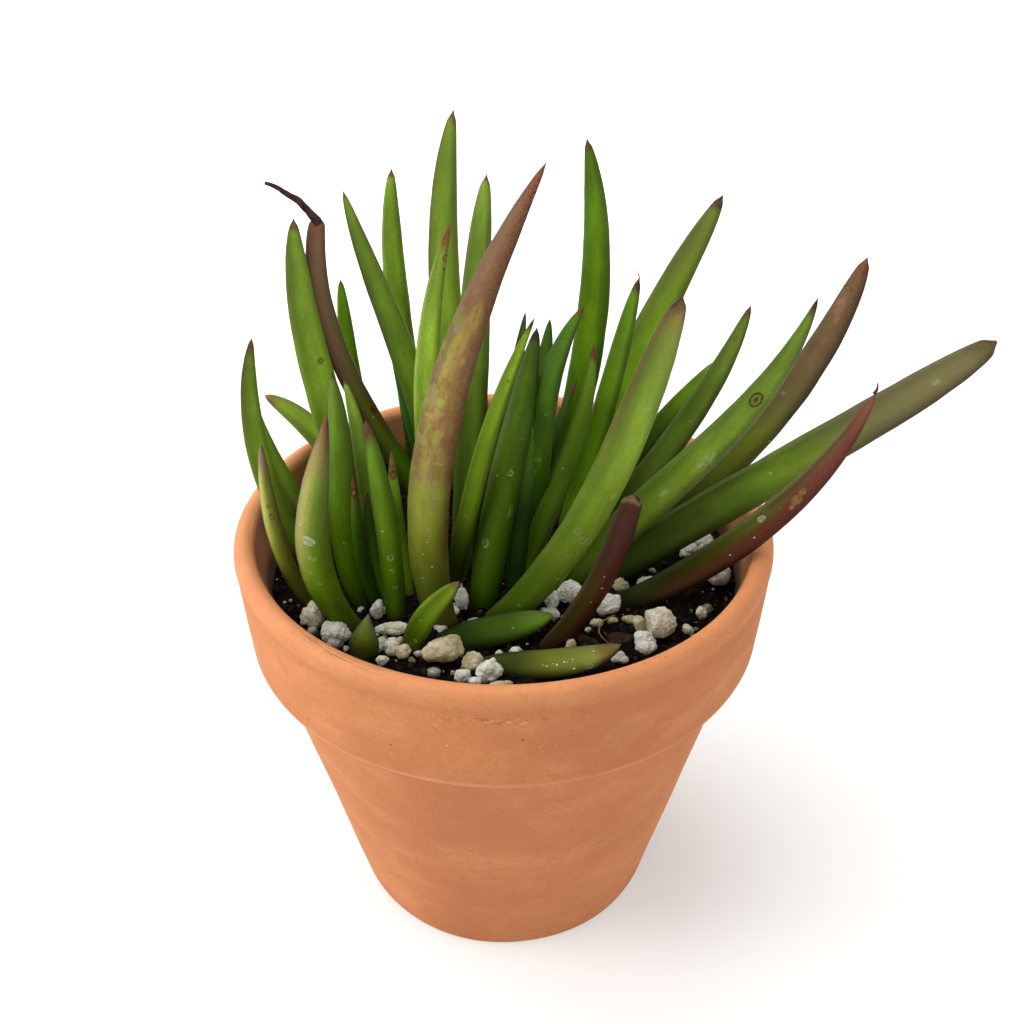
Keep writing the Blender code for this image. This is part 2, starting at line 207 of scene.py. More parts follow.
class Finish:
    """A material in the making: its Principled shader, and a bare wire that nodes start from."""

    def __init__(self, name, **constants):
        self.material = bpy.data.materials.new(name)
        self.material.use_nodes = True
        self.tree = self.material.node_tree
        self.shader = self.tree.nodes["Principled BSDF"]
        self.start = Wire(self.tree)
        for socket, value in constants.items():
            self.shader.inputs[socket.replace("_", " ")].default_value = value

    def attribute(self, name):
        return self.start.node("ShaderNodeAttribute", output="Vector", attribute_name=name)

    def paint(self, colour, roughness, height, relief):
        """Joins the finished wires to the shader. Height is a bump of 0 to 1, relief metres deep."""
        bump = self.start.node("ShaderNodeBump", {"Strength": 1.0, "Distance": relief, "Height": height})
        for socket, wire in (("Base Color", colour), ("Roughness", roughness), ("Normal", bump)):
            self.tree.links.new(wire.socket, self.shader.inputs[socket])
        return self.material


def keep_piece(name, mesh, material=None):
    """Makes a finished mesh a piece of the plant, which has one body."""
    if material:
        mesh.materials.append(material)
    mesh.shade_smooth()
    piece = bpy.data.objects.new(name, mesh)
    bpy.context.scene.collection.objects.link(piece)
    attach(piece, "root")
    return piece


def keep_built(name, builder, material):
    """Makes a bmesh, built in millimetres round the pot's axis, a piece."""
    bmesh.ops.recalc_face_normals(builder, faces=builder.faces)
    builder.transform(Matrix.Scale(MM, 4) @ Matrix.Translation((POT_X, 0.0, 0.0)))
    mesh = bpy.data.meshes.new(name)
    builder.to_mesh(mesh)
    builder.free()
    return keep_piece(name, mesh, material)


def arc(centre_radius, centre_height, radius, start, end, steps):
    """Points on a round of a turned profile, from angle start to angle end."""
    points = []
    for step in range(steps + 1):
        angle = math.radians(start + (end - start) * step / steps)
        points.append((centre_radius + radius * math.cos(angle), centre_height + radius * math.sin(angle)))
    return points


def filled_in(points, spacing):
    """The same closed profile with more points on its long straight stretches."""
    close = []
    for (r1, z1), (r2, z2) in zip(points, points[1:] + points[:1]):
        count = max(1, round(math.dist((r1, z1), (r2, z2)) / spacing))
        close += [(r1 + (r2 - r1) * i / count, z1 + (z2 - z1) * i / count) for i in range(count)]
    return close


def pot_profile():
    """The pot's section: hole, foot, body, collar with its pressed groove, lip and inside wall."""
    foot_round, collar_round, fillet = 1.8, 1.3, 0.8
    inner_round = RIM_RADIUS - LIP_ROUND - INNER_LIP_RADIUS
    groove = POT_HEIGHT - GROOVE_UNDER_RIM
    points = [(HOLE_RADIUS, FLOOR_THICKNESS), (HOLE_RADIUS + 0.6, 0.6), (HOLE_RADIUS + 1.2, 0.0)]
    points += arc(BASE_RADIUS - foot_round, foot_round, foot_round, -90, -12, 6)
    points += [(NECK_RADIUS, COLLAR_FOOT - fillet), (NECK_RADIUS + fillet, COLLAR_FOOT)]
    points += arc(COLLAR_FOOT_RADIUS - collar_round, COLLAR_FOOT + collar_round, collar_round, -90, 0, 6)
    points += [(GROOVE_RADIUS + 0.2, groove - 1.0), (GROOVE_RADIUS, groove),
               (GROOVE_RADIUS + 0.25, groove + 1.0)]
    points += arc(RIM_RADIUS - LIP_ROUND, POT_HEIGHT - LIP_ROUND, LIP_ROUND, 0, 90, 9)
    points += arc(INNER_LIP_RADIUS + inner_round, POT_HEIGHT - inner_round, inner_round, 95, 180, 7)
    points += [(INNER_NECK_RADIUS, COLLAR_FOOT), (INNER_FLOOR_RADIUS, FLOOR_THICKNESS + 3.0),
               (INNER_FLOOR_RADIUS - 3.0, FLOOR_THICKNESS)]
    return filled_in(points, 1.6)


def build_pot():
    """The section turned round the axis, a little out of true as pressed clay is."""
    profile = pot_profile()
    builder = bmesh.new()
    columns = []
    for step in range(POT_STEPS):
        angle = math.tau * step / POT_STEPS
        column = []
        for radius, height in profile:
            place = Vector((math.cos(angle) * 1.6, math.sin(angle) * 1.6, height * 0.05))
            uneven = radius + OUT_OF_TRUE * noise.noise(place) * min(1.0, radius / BASE_RADIUS)
            column.append(builder.verts.new((uneven * math.cos(angle), uneven * math.sin(angle), height)))
        columns.append(column)
    for column, following in zip(columns, columns[1:] + columns[:1]):
        for i in range(len(profile)):
            j = (i + 1) % len(profile)
            builder.faces.new((column[i], column[j], following[j], following[i]))
    return builder


def clay_finish():
    finish = Finish("terracotta", Specular_IOR_Level=0.40)
    place = from_axis(finish.start)
    x, y, z = (place.part(axis) for axis in range(3))
    radius = place.vector("MULTIPLY", (1.0, 1.0, 0.0)).length()
    height = z / MM
    angle = y.math("ARCTAN2", x)
    drawn = together(x, y, z * 2.0)
    wheel_stains = together(angle * 0.8, 0.0, height * 0.9).cloud(1.0, 4.0, 0.7)
    lip = height.rise(POT_HEIGHT - 3.6, POT_HEIGHT - 1.6)
    edge = height.between(COLLAR_FOOT - 0.2, COLLAR_FOOT + 0.7, COLLAR_FOOT + 0.9, COLLAR_FOOT + 2.0)
    groove = height.between(POT_HEIGHT - 5.6, POT_HEIGHT - 4.4, POT_HEIGHT - 4.0, POT_HEIGHT - 3.0)
    inside = radius.rise(50.6 * MM, 49.6 * MM) * height.rise(COLLAR_FOOT, COLLAR_FOOT + 1.0)
    damp = height.rise(POT_HEIGHT - 4.0, SOIL_LEVEL + 0.5) + drawn.cloud(45.0, 4.0) * 0.5 - 0.25
    holes = (place.dots(150.0, 0.050, 0.30) + place.dots(310.0, 0.085, 0.12)).at_most(1.0)
    # soot lies along the lip at the front left and, broken into dashes, at the front right
    top = height.rise(POT_HEIGHT - 0.9, POT_HEIGHT - 0.2) * radius.rise(52.9 * MM, 51.9 * MM)
    rub = together(angle * 9.0, radius * 2600.0, 0.0).cloud(1.0, 4.0, 0.65)
    dashes = together(angle * 46.0, radius * 900.0, 0.0).cloud(1.0, 2.0, 0.6)
    front_left = angle.between(-2.36, -2.22, -2.02, -1.86)
    front_right = angle.between(-1.30, -1.22, -1.02, -0.92)
    soot = top * (front_left * rub.rise(0.46, 0.62) + front_right * dashes.rise(0.56, 0.66) * 0.8)
    # short worn dashes lie just below the lip at the front, some dark and some pale
    worn = (height.between(POT_HEIGHT - 6.6, POT_HEIGHT - 6.2, POT_HEIGHT - 5.3, POT_HEIGHT - 4.9)
            * angle.rise(-1.81, -1.77) * angle.rise(-1.39, -1.43))
    scuffs = together(angle * 34.0, 3.0, height * 1.1).cloud(1.0, 3.0, 0.7)
    # broad firing blotches, then finer clouding, drawn out round the pot by the wheel, then all the wear,
    # besides painted shade in the groove under the lip and a painted highlight along the collar's foot
    colour = painted(
        (place.cloud(22.0, 4.0, 0.6).rise(0.35, 0.68) * 0.55 + 0.10).mix(CLAY_DEEP, CLAY),
        (drawn.cloud(55.0, 5.0, 0.62).rise(0.45, 0.75), 0.30, CLAY_PALE),
        (drawn.cloud(260.0, 3.0, 0.6).rise(0.55, 0.75), 0.25, CLAY_DEEP),
        (place.cloud(1500.0, 2.0).rise(0.62, 0.78), 0.45, CLAY_PALE),
        (place.cloud(800.0, 4.0, 0.7).rise(0.50, 0.68), 0.55, CLAY_DEEP),
        (drawn.cloud(150.0, 4.0, 0.65).rise(0.50, 0.68), 0.30, CLAY_DEEP),
        (wheel_stains.rise(0.52, 0.70), 0.22, CLAY_DEEP),
        (lip, 0.12, CLAY_PALE),
        # a painted highlight along the collar's rounded foot
        (edge * drawn.cloud(40.0).rise(0.3, 0.6), 0.25, CLAY_EDGE_HIGHLIGHT),
        # painted shade in the pressed groove under the lip
        (groove, 0.25, CLAY_DEEP),
        (inside, 0.75, CLAY_INSIDE),
        (inside, damp.rise(0.35, 1.0), CLAY_DAMP),
        (holes, 0.75, PINHOLE),
        (place.dots(210.0, 0.06, 0.10), 0.6, CLAY_GRAIN),
        (soot, 0.55, SOOT),
        (worn * scuffs.rise(0.56, 0.62), 0.50, PINHOLE),
        (worn * scuffs.rise(0.42, 0.37), 0.45, CLAY_GRAIN))
    # wheel lines, grain and pinholes in relief
    wheel = together(angle * 0.6, 0.0, height * 1.4).cloud(1.0, 4.0, 0.7)
    relief = wheel * 0.60 + place.cloud(1300.0, 4.0, 0.65) * 0.45 + place.cloud(300.0) * 0.35 - holes * 0.8
    roughness = 0.92 - lip * 0.16 - place.cloud(90.0) * 0.10
    return finish.paint(colour, roughness, relief, 0.22 * MM)


pot = keep_built("terracotta_pot", build_pot(), clay_finish())
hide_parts("pot")


# ------------------------------------------------------------------------------------------------
# The soil: peaty potting compost, nearly black while damp, pressed in by hand to 12 mm under the rim.
# Its top is crumbly, with bits of fibre and specks of pumice dust, and lies against the pot's wall.
# ------------------------------------------------------------------------------------------------

SOIL_RADIUS = 47.5
SOIL_RINGS = 78
SOIL_STEPS = 300
SOIL_SIDES = ((INNER_NECK_RADIUS - 0.4, COLLAR_FOOT), (INNER_FLOOR_RADIUS - 0.6, 10.3), (8.0, 7.4))
PEAT = (0.0048, 0.0030, 0.0020)
PEAT_BROWN = (0.034, 0.018, 0.010)
PEAT_CRUMB = (0.024, 0.014, 0.008)
FIBRE = (0.13, 0.075, 0.035)
FIBRE_DARK = (0.05, 0.028, 0.014)
CHIP = (0.055, 0.026, 0.016)
DUST = (0.46, 0.41, 0.31)
DUST_PALE = (0.74, 0.69, 0.57)


def soil_swell(x, y):
    """Height of the soil without its crumbs: low, smooth swells."""
    return (SOIL_LEVEL + 0.5 * math.sin(0.16 * x + 1.0) * math.cos(0.14 * y)
            + 0.3 * math.sin(0.31 * x - 0.23 * y))


def soil_height(x, y):
    """Height of the soil with lumps of a few sizes on its swells."""
    lumps = (1.0 * noise.noise(Vector((x * 0.28, y * 0.28, 4.0)))
             + 0.7 * noise.noise(Vector((x * 0.75, y * 0.75, 9.0)))
             + 0.9 * abs(noise.noise(Vector((x * 1.7, y * 1.7, 2.0)))))
    return soil_swell(x, y) + lumps - 0.4


def build_soil():
    """The root ball: a crumbly top out to the wall, then the plain sides and underside in the pot."""
    builder = bmesh.new()
    circle = [(math.cos(math.tau * step / SOIL_STEPS), math.sin(math.tau * step / SOIL_STEPS))
              for step in range(SOIL_STEPS)]
    rings = []
    for ring in range(1, SOIL_RINGS + 1):
        radius = SOIL_RADIUS * ring / SOIL_RINGS
        rings.append([builder.verts.new((radius * c, radius * s, soil_height(radius * c, radius * s)))
                      for c, s in circle])
    for radius, height in SOIL_SIDES:
        rings.append([builder.verts.new((radius * c, radius * s, height)) for c, s in circle])
    middle = builder.verts.new((0.0, 0.0, soil_height(0.0, 0.0)))
    for step in range(SOIL_STEPS):
        after = (step + 1) % SOIL_STEPS
        builder.faces.new((middle, rings[0][step], rings[0][after]))
        for inner, outer in zip(rings, rings[1:]):
            builder.faces.new((inner[step], outer[step], outer[after], inner[after]))
    builder.faces.new(rings[-1])
    return builder


def peat_finish():
    finish = Finish("damp_peat", Specular_IOR_Level=0.06)
    place = from_axis(finish.start)
    strands = place.vector("MULTIPLY", (900.0, 260.0, 500.0)).cloud(1.0, 4.0, 0.7)
    colour = painted(place.cloud(420.0, 5.0, 0.65).rise(0.52, 0.74).mix(PEAT, PEAT_BROWN),
                     (strands.rise(0.66, 0.74), 0.5, FIBRE), (place.dots(900.0, 0.16, 0.05), 0.7, DUST))
    roughness = place.cloud(350.0).rise(0.3, 0.7) * 0.35 + 0.55
    return finish.paint(colour, roughness, place.cloud(1100.0, 6.0, 0.75), 0.9 * MM)


def plain_finish(name, dark, light, scale, roughness, relief):
    """A rough natural stuff whose colour only wavers between two shades."""
    finish = Finish(name, Specular_IOR_Level=0.12)
    place = from_axis(finish.start)
    colour = place.cloud(scale, 4.0, 0.6).rise(0.36, 0.66).mix(dark, light)
    height = place.cloud(scale * 2.0, 5.0, 0.7)
    return finish.paint(colour, place.cloud(scale) * 0.2 + roughness, height, relief)


class Recipe:
    """A Geometry Nodes tree with named inputs. grow() runs it once for a piece."""

    def __init__(self, name, inputs):
        self.tree = bpy.data.node_groups.new(name, "GeometryNodeTree")
        self.ids = {}
        for label, kind in {"Geometry": "Geometry", **inputs, "Material": "Material"}.items():
            socket = self.tree.interface.new_socket(label, in_out="INPUT", socket_type="NodeSocket" + kind)
            self.ids[label] = socket.identifier
        self.tree.interface.new_socket("Geometry", in_out="OUTPUT", socket_type="NodeSocketGeometry")
        self.entry = self.tree.nodes.new("NodeGroupInput")
        self.start = Wire(self.tree)

    def take(self, label):
        return Wire(self.tree, self.entry.outputs[label])

    def give(self, geometry):
        """Ends the tree: instances become real, the material is set, and the result leaves."""
        real = self.start.node("GeometryNodeRealizeInstances", {0: geometry})
        dressed = self.start.node("GeometryNodeSetMaterial", {0: real, "Material": self.take("Material")})
        leave = self.tree.nodes.new("NodeGroupOutput")
        self.tree.links.new(dressed.socket, leave.inputs[0])

    def grow(self, name, values, ground=None):
        """Runs the recipe on a mesh, or on nothing, and keeps the result as a plain piece."""
        worker = bpy.data.objects.new(name + "_recipe", ground or bpy.data.meshes.new(name))
        bpy.context.scene.collection.objects.link(worker)
        modifier = worker.modifiers.new("recipe", "NODES")
        modifier.node_group = self.tree
        for label, value in values.items():
            modifier[self.ids[label]] = value
        depsgraph = bpy.context.evaluated_depsgraph_get()
        mesh = bpy.data.meshes.new_from_object(worker.evaluated_get(depsgraph), depsgraph=depsgraph)
        bpy.data.objects.remove(worker)
        return keep_piece(name, mesh)


def strewing_recipe(name, inputs, make_one, turned, smallest):
    """Copies of one thing strewn over the upward faces of a mesh, each turned and sized by chance."""
    recipe = Recipe(name, {"Per Area": "Float", **inputs, "Seed": "Int"})
    take, start = recipe.take, recipe.start
    height = start.node("GeometryNodeInputPosition").part(2)
    open_soil = (start.node("GeometryNodeInputNormal").part(2).rise(0.1, 0.3)
                 * height.rise(COLLAR_FOOT * MM, (COLLAR_FOOT + 1.0) * MM))
    points = start.node("GeometryNodeDistributePointsOnFaces", {
        0: take("Geometry"), 1: open_soil, "Density": take("Per Area"), "Seed": take("Seed")})
    turn = start.node("FunctionNodeRandomValue", {**turned, "Seed": take("Seed")}, data_type="FLOAT_VECTOR")
    size = start.node("FunctionNodeRandomValue", {
        2: smallest or take("Smallest"), 3: 1.0, "Seed": take("Seed")}, 1, data_type="FLOAT")
    return recipe, start.node("GeometryNodeInstanceOnPoints", {
        0: points, "Instance": make_one(take, start), "Rotation": turn, "Scale": size})


def one_crumb(take, start):
    crumb = start.node("GeometryNodeMeshIcoSphere", {"Radius": take("Size"), "Subdivisions": 2})
    return start.node("GeometryNodeTransform", {0: crumb, "Scale": together(1.0, 0.8, take("Flatness"))})


def one_fibre(take, start):
    bend = start.node("GeometryNodeCurveArc", {"Resolution": 6, "Radius": take("Length"), "Sweep Angle": 1.0})
    ring = start.node("GeometryNodeCurvePrimitiveCircle", {"Resolution": 4, "Radius": take("Thickness")})
    fibre = start.node("GeometryNodeCurveToMesh", {0: bend, 1: ring, "Fill Caps": True})
    middle = together(take("Length") * -0.85, take("Length") * -0.45, 0.0)
    return start.node("GeometryNodeTransform", {0: fibre, "Translation": middle})


def crumb_recipe():
    """Little lumps in which no two are rough in the same way."""
    recipe, strewn = strewing_recipe(
        "strewn crumbs", {"Size": "Float", "Smallest": "Float", "Flatness": "Float"}, one_crumb,
        {1: (math.tau, math.tau, math.tau)}, None)
    real = strewn.node("GeometryNodeRealizeInstances", {0: strewn})
    push = strewn.node("GeometryNodeInputPosition").shove(900.0, 2.0, recipe.take("Size") * 1.4)
    recipe.give(strewn.node("GeometryNodeSetPosition", {0: real, "Offset": push}))
    return recipe


def fibre_recipe():
    """Short bent fibres that lie about, nearly level."""
    recipe, strewn = strewing_recipe("lying fibres", {"Length": "Float", "Thickness": "Float"}, one_fibre,
                                     {0: (-0.5, -0.5, 0.0), 1: (0.5, 0.5, math.tau)}, 0.3)
    recipe.give(strewn)
    return recipe


soil = keep_built("potting_soil", build_soil(), peat_finish())
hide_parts("soil")

strew = crumb_recipe()
crumb_peat = plain_finish("peat_crumb", PEAT, PEAT_CRUMB, 500.0, 0.7, 0.5 * MM)
crumb_bark = plain_finish("bark_crumb", CHIP, FIBRE, 700.0, 0.7, 0.3 * MM)
dust_white = plain_finish("pumice_dust", DUST, DUST_PALE, 900.0, 0.8, 0.3 * MM)
for name, per_area, size, smallest, flatness, seed, material in (
        ("soil_crumbs", 150000.0, 0.95 * MM, 0.25, 0.75, 3, crumb_peat),
        ("bark_crumbs", 20000.0, 0.75 * MM, 0.30, 0.45, 8, crumb_bark),
        ("pumice_dust", 22000.0, 0.34 * MM, 0.35, 0.9, 5, dust_white),
        ("pumice_grit", 9000.0, 0.95 * MM, 0.45, 0.85, 12, dust_white)):
    crumbs = strew.grow(name, {"Per Area": per_area, "Size": size, "Smallest": smallest,
                               "Flatness": flatness, "Seed": seed, "Material": material}, soil.data)
fibres = fibre_recipe().grow("soil_fibres", {
    "Per Area": 26000.0, "Length": 2.6 * MM, "Thickness": 0.07 * MM, "Seed": 4,
    "Material": plain_finish("root_fibre", FIBRE_DARK, FIBRE, 300.0, 0.7, 0.1 * MM)}, soil.data)


# ------------------------------------------------------------------------------------------------
# The pumice: pale, foamy grit strewn on the soil to keep it open. Each bit is a cluster of rounded
# lumps with creases between them, from white to cream and grey, stained where it touches the peat.
# ------------------------------------------------------------------------------------------------

Granule = namedtuple("Granule", "name x y long wide high heading seed stone lobes", defaults=(6,))

# long, wide and high are its size, heading the way its long side runs, and lobes how many lumps it has.
GRANULES = [
    Granule("granule_left_wall", -36.5, -20, 5.8, 5.4, 5.0, 20, 1, "cream", 4),
    Granule("granule_left_lump", -31.5, -25.5, 6.0, 5.6, 5.0, -15, 2, "white", 8),
    Granule("granule_left_slab", -21, -24, 6.8, 3.4, 3.4, 5, 3, "cream", 5),
    Granule("granule_front_big", -11, -31, 8.2, 5.6, 5.4, 10, 4, "straw", 7),
    Granule("granule_front_round", -5.5, -32.5, 4.2, 4.0, 4.0, 0, 5, "straw", 5),
    Granule("granule_front_pale", -2.5, -36, 5.0, 4.2, 4.6, 40, 6, "white", 9),
    Granule("granule_middle_white", 13, -14, 5.2, 4.8, 5.0, 0, 7, "white", 4),
    Granule("granule_middle_small", 20.5, -17, 5.0, 4.6, 4.8, 30, 8, "white", 6),
    Granule("granule_right_cream", 23.5, -9.5, 3.6, 3.4, 3.6, 0, 9, "straw", 4),
    Granule("granule_right_blue", 28.5, -9.5, 3.4, 3.2, 4.4, 10, 10, "grey", 4),
    Granule("granule_right_big", 30, -23.5, 6.2, 5.8, 6.0, 0, 11, "cream", 4),
    Granule("granule_right_front", 26.5, -28.5, 4.8, 4.4, 4.4, -20, 12, "white", 6),
    Granule("granule_right_wall", 43, -8.5, 5.4, 5.0, 5.8, 15, 13, "grey", 7),
]

# The smaller bits between them, from the left round to the right. Each one's seed is its number.
FIRST_SMALL_SEED = 21
SMALL_GRANULES = [Granule("", *row[:6], seed, *row[6:]) for seed, row in enumerate((
    (-42.2, -13.9, 0.8, 0.7, 0.7, 0, "white"), (-40.5, -14.9, 0.9, 0.7, 0.7, 30, "white"),
    (-36.3, -23.2, 2.2, 2.0, 2.6, 10, "cream"), (-24.4, -18.8, 2.6, 2.6, 4.8, 80, "white"),
    (-23.0, -28.4, 3.3, 3.0, 3.4, 0, "grey", 5), (-20.6, -29.2, 3.2, 3.2, 3.8, 20, "white", 7),
    (-19.3, -27.2, 2.0, 2.0, 2.6, 0, "straw", 4), (-18.6, -30.6, 3.6, 2.8, 3.0, -30, "straw", 6),
    (-22.1, -32.2, 2.6, 2.2, 2.0, 15, "cream"), (-16.9, -31.6, 2.0, 1.4, 1.3, -30, "straw"),
    (-15.5, -30.4, 2.2, 1.6, 1.6, 0, "grey"), (-12.7, -34.6, 3.0, 2.0, 2.2, -10, "cream", 4),
    (-11.8, -23.8, 2.9, 1.8, 1.8, 0, "white", 4), (-19.4, -10.0, 1.4, 1.4, 3.4, 0, "white"),
    (-5.8, -20.5, 2.4, 2.2, 2.4, 0, "grey", 4), (-8.2, -17.0, 3.0, 2.6, 7.0, 0, "grey", 5),
    (-9.6, -18.6, 2.2, 2.0, 2.4, 40, "grey", 4), (-9.0, -34.9, 1.1, 1.0, 1.2, 0, "cream"),
    (-7.2, -36.4, 3.2, 2.8, 3.0, 0, "white", 8), (-4.9, -38.6, 2.4, 2.2, 2.4, 0, "white", 6),
    (-0.3, -38.6, 4.6, 2.2, 1.6, 4, "straw", 5), (2.4, -29.4, 2.6, 1.6, 1.8, 0, "white"),
    (9.4, -15.6, 3.2, 3.0, 4.6, 70, "white", 4), (9.0, -19.0, 4.2, 3.0, 2.8, -15, "white", 4),
    (5.6, -19.3, 1.8, 1.4, 1.2, 0, "white"), (12.6, -28.4, 2.0, 1.8, 2.9, 60, "straw", 5),
    (11.2, -29.6, 3.0, 1.8, 1.6, 0, "straw", 5), (17.9, -21.3, 2.7, 2.0, 2.0, 10, "straw", 5),
    (21.1, -20.9, 2.1, 1.6, 1.6, 0, "straw"), (16.2, -23.2, 1.4, 1.2, 1.2, 0, "straw"),
    (24.6, -20.6, 3.8, 2.0, 1.8, -8, "straw", 6), (26.0, -22.8, 2.8, 3.0, 3.2, 60, "straw", 5),
    (21.5, -32.0, 3.4, 2.4, 2.6, 0, "grey", 5), (35.2, -23.2, 2.4, 2.0, 1.8, 20, "white"),
    (37.1, -22.0, 1.1, 1.0, 1.0, 0, "cream"), (38.4, -18.8, 2.4, 2.2, 2.8, 10, "cream", 5),
    (40.0, -15.9, 3.0, 2.2, 2.0, 30, "cream", 5), (38.7, 1.6, 4.2, 3.6, 3.6, 20, "grey", 7),
    (42.4, 3.6, 4.4, 4.2, 4.4, 0, "grey", 7), (29.1, -2.2, 3.0, 2.6, 2.2, 30, "grey", 5),
    (34.2, -7.2, 1.0, 0.9, 0.8, 0, "white"), (4.0, 34.0, 4.6, 4.0, 4.2, 15, "cream", 6),
    (-6.5, 38.5, 3.6, 3.0, 3.2, 50, "white", 5), (21.0, 30.0, 3.8, 3.4, 3.4, 0, "straw", 5),
    (29.5, 23.5, 3.0, 2.6, 2.6, 20, "grey", 5), (34.0, 14.5, 4.4, 3.6, 3.8, -20, "white", 7),
    (-24.0, 36.5, 3.2, 2.8, 2.8, 0, "cream", 5),
), FIRST_SMALL_SEED)]

PEAT_STAIN = (0.075, 0.052, 0.034)

# Each stone's dark stain, its body and its palest parts.
STONES = {
    "white": ((0.62, 0.54, 0.32), (0.97, 0.96, 0.78), (0.98, 0.98, 0.90)),
    "cream": ((0.56, 0.44, 0.23), (0.97, 0.91, 0.65), (0.98, 0.96, 0.80)),
    "straw": ((0.33, 0.24, 0.10), (0.70, 0.58, 0.32), (0.88, 0.80, 0.55)),
    "grey": ((0.38, 0.35, 0.26), (0.78, 0.77, 0.68), (0.93, 0.93, 0.86)),
}


FIRST_LOBE = 0.60
BREAKS = 10
LOBE_BLEND = 26
BREAK_BLEND = 14
CREASE_WIDTH = 0.10
MIDDLE_RAISED = 0.32
BIG_FINENESS, SMALL_FINENESS, BIT_FINENESS = 5, 4, 3
BIT_LENGTH = 2.0


def add_lump(builder, granule, fineness):
    """A knobbly cluster of lobes, broken off flat here and there, stretched to size and set in the soil.

    How deep each point lies in a crease between two lobes is kept for the painted shade in the stone's
    creases.
    """
    layers = builder.verts.layers.float
    crease = layers.get("crease") or layers.new("crease")
    lobes = [(Vector((0.0, 0.0, 0.0)), FIRST_LOBE)]
    for i in range(granule.lobes + 3):
        away = noise.random_unit_vector()
        lobes.append((away * (0.30 + 0.26 * noise.random()), 0.30 + 0.28 * noise.random()))
    breaks = [(noise.random_unit_vector(), 0.60 + 0.26 * noise.random()) for i in range(BREAKS)]
    ball = bmesh.ops.create_icosphere(builder, subdivisions=fineness, radius=1.0)["verts"]
    half_size = Vector((granule.long, granule.wide, granule.high)) / 2
    turn = Matrix.Rotation(math.radians(granule.heading), 3, "Z")
    height = soil_height(granule.x, granule.y) + MIDDLE_RAISED * granule.high
    foot = Vector((granule.x, granule.y, height))
    chance = Vector((granule.seed, 0.0, 0.0))
    shaped = []
    for vert in ball:
        way = vert.co.normalized()
        reaches = [0.0]
        for centre, radius in lobes:
            over = way.dot(centre)
            inside = over * over - centre.length_squared + radius * radius
            if inside > 0.0:
                reaches.append(over + math.sqrt(inside))
        farthest, second = sorted(reaches)[:-3:-1]
        whole = sum(r ** LOBE_BLEND for r in reaches) ** (1 / LOBE_BLEND)
        broken = sum(max(0.0, way.dot(facing) / distance) ** BREAK_BLEND for facing, distance in breaks)
        reach = (broken + whole ** -BREAK_BLEND) ** (-1 / BREAK_BLEND)
        vert[crease] = max(0.0, 1.0 - (farthest - second) / CREASE_WIDTH) * (reach / whole) ** 6
        rough = 0.08 * noise.noise(way * 4.0 + chance) + 0.035 * noise.noise(way * 11.0 + chance)
        shaped.append(way * (reach + rough + 0.018 * noise.noise(way * 26.0 + chance)))
    lowest = Vector(min(point[axis] for point in shaped) for axis in range(3))
    highest = Vector(max(point[axis] for point in shaped) for axis in range(3))
    for vert, point in zip(ball, shaped):
        share = (2.0 * (p - low) / (high - low) - 1.0 for p, low, high in zip(point, lowest, highest))
        vert.co = foot + turn @ Vector(s * h for s, h in zip(share, half_size))


def stone_finish(name, stain, body, pale):
    finish = Finish("pumice_" + name, Specular_IOR_Level=0.15)
    place = from_axis(finish.start)
    crease = finish.attribute("crease").part(0)
    foot = (place.part(2) / MM - SOIL_LEVEL) + place.cloud(500.0) * 1.6 - 0.8
    colour = painted(
        place.cloud(420.0, 4.0, 0.6).rise(0.38, 0.66).mix(body, pale),
        (place.cloud(230.0, 3.0, 0.6).rise(0.56, 0.76), 0.35, stain),
        (place.cloud(1900.0, 4.0, 0.75).rise(0.57, 0.68), 0.40, stain),
        # painted shade in the creases between the lobes
        (crease * place.cloud(700.0).rise(0.25, 0.55), 0.22, dimmed(stain, 0.6)),
        (foot.rise(1.1, -0.2), 0.75, PEAT_STAIN))
    pores = place.dots(2400.0, 0.42, 0.45)
    relief = place.cloud(1900.0, 5.0, 0.78) * 1.1 + place.cloud(600.0, 3.0) * 0.7 - pores * 0.6 - crease * 0.2
    return finish.paint(colour, place.cloud(900.0) * 0.1 + 0.88, relief, 0.60 * MM)


stone_finishes = {name: stone_finish(name, *shades) for name, shades in STONES.items()}
for granule in GRANULES:
    builder = bmesh.new()
    noise.seed_set(granule.seed)
    add_lump(builder, granule, BIG_FINENESS)
    lump = keep_built(granule.name + "_stone", builder, stone_finishes[granule.stone])
    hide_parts(granule.name)
for stone, material in stone_finishes.items():
    builder = bmesh.new()
    for granule in SMALL_GRANULES:
        if granule.stone == stone:
            noise.seed_set(granule.seed)
            add_lump(builder, granule, SMALL_FINENESS if granule.long > BIT_LENGTH else BIT_FINENESS)
    keep_built("small_pumice_" + stone, builder, material)


# ------------------------------------------------------------------------------------------------
# The leaves: thick, pointed and watery, each grown from the soil by itself, hollowed along the face
# that looks inwards and rounded behind. Every one is swept along its own bend by one recipe.
# ------------------------------------------------------------------------------------------------

ROOTED_DEPTH = 3.0
ROOTED_SIZE = 0.7
BASE_WIDTH = 0.82
FULL_FROM = 0.3
TAPER_FROM = 0.35
THICKNESS_SHARE = 0.45
THICKNESS_LEAST = 0.6
LEAF_SIDES = 40
RINGS_PER_MM = 1.2
RING_CROWDING = 1.4
MARGIN_WAVER = 0.16
SKIN_SWELLING = 0.22
LEAST_GIRTH = 0.012

Leaf = namedtuple("Leaf", "name x y heading lean_base lean_middle lean_tip length width facing"
                          " face_up blunt cut groove keel", defaults=(0, 0.0, 1.0, 0.35, 0.1))

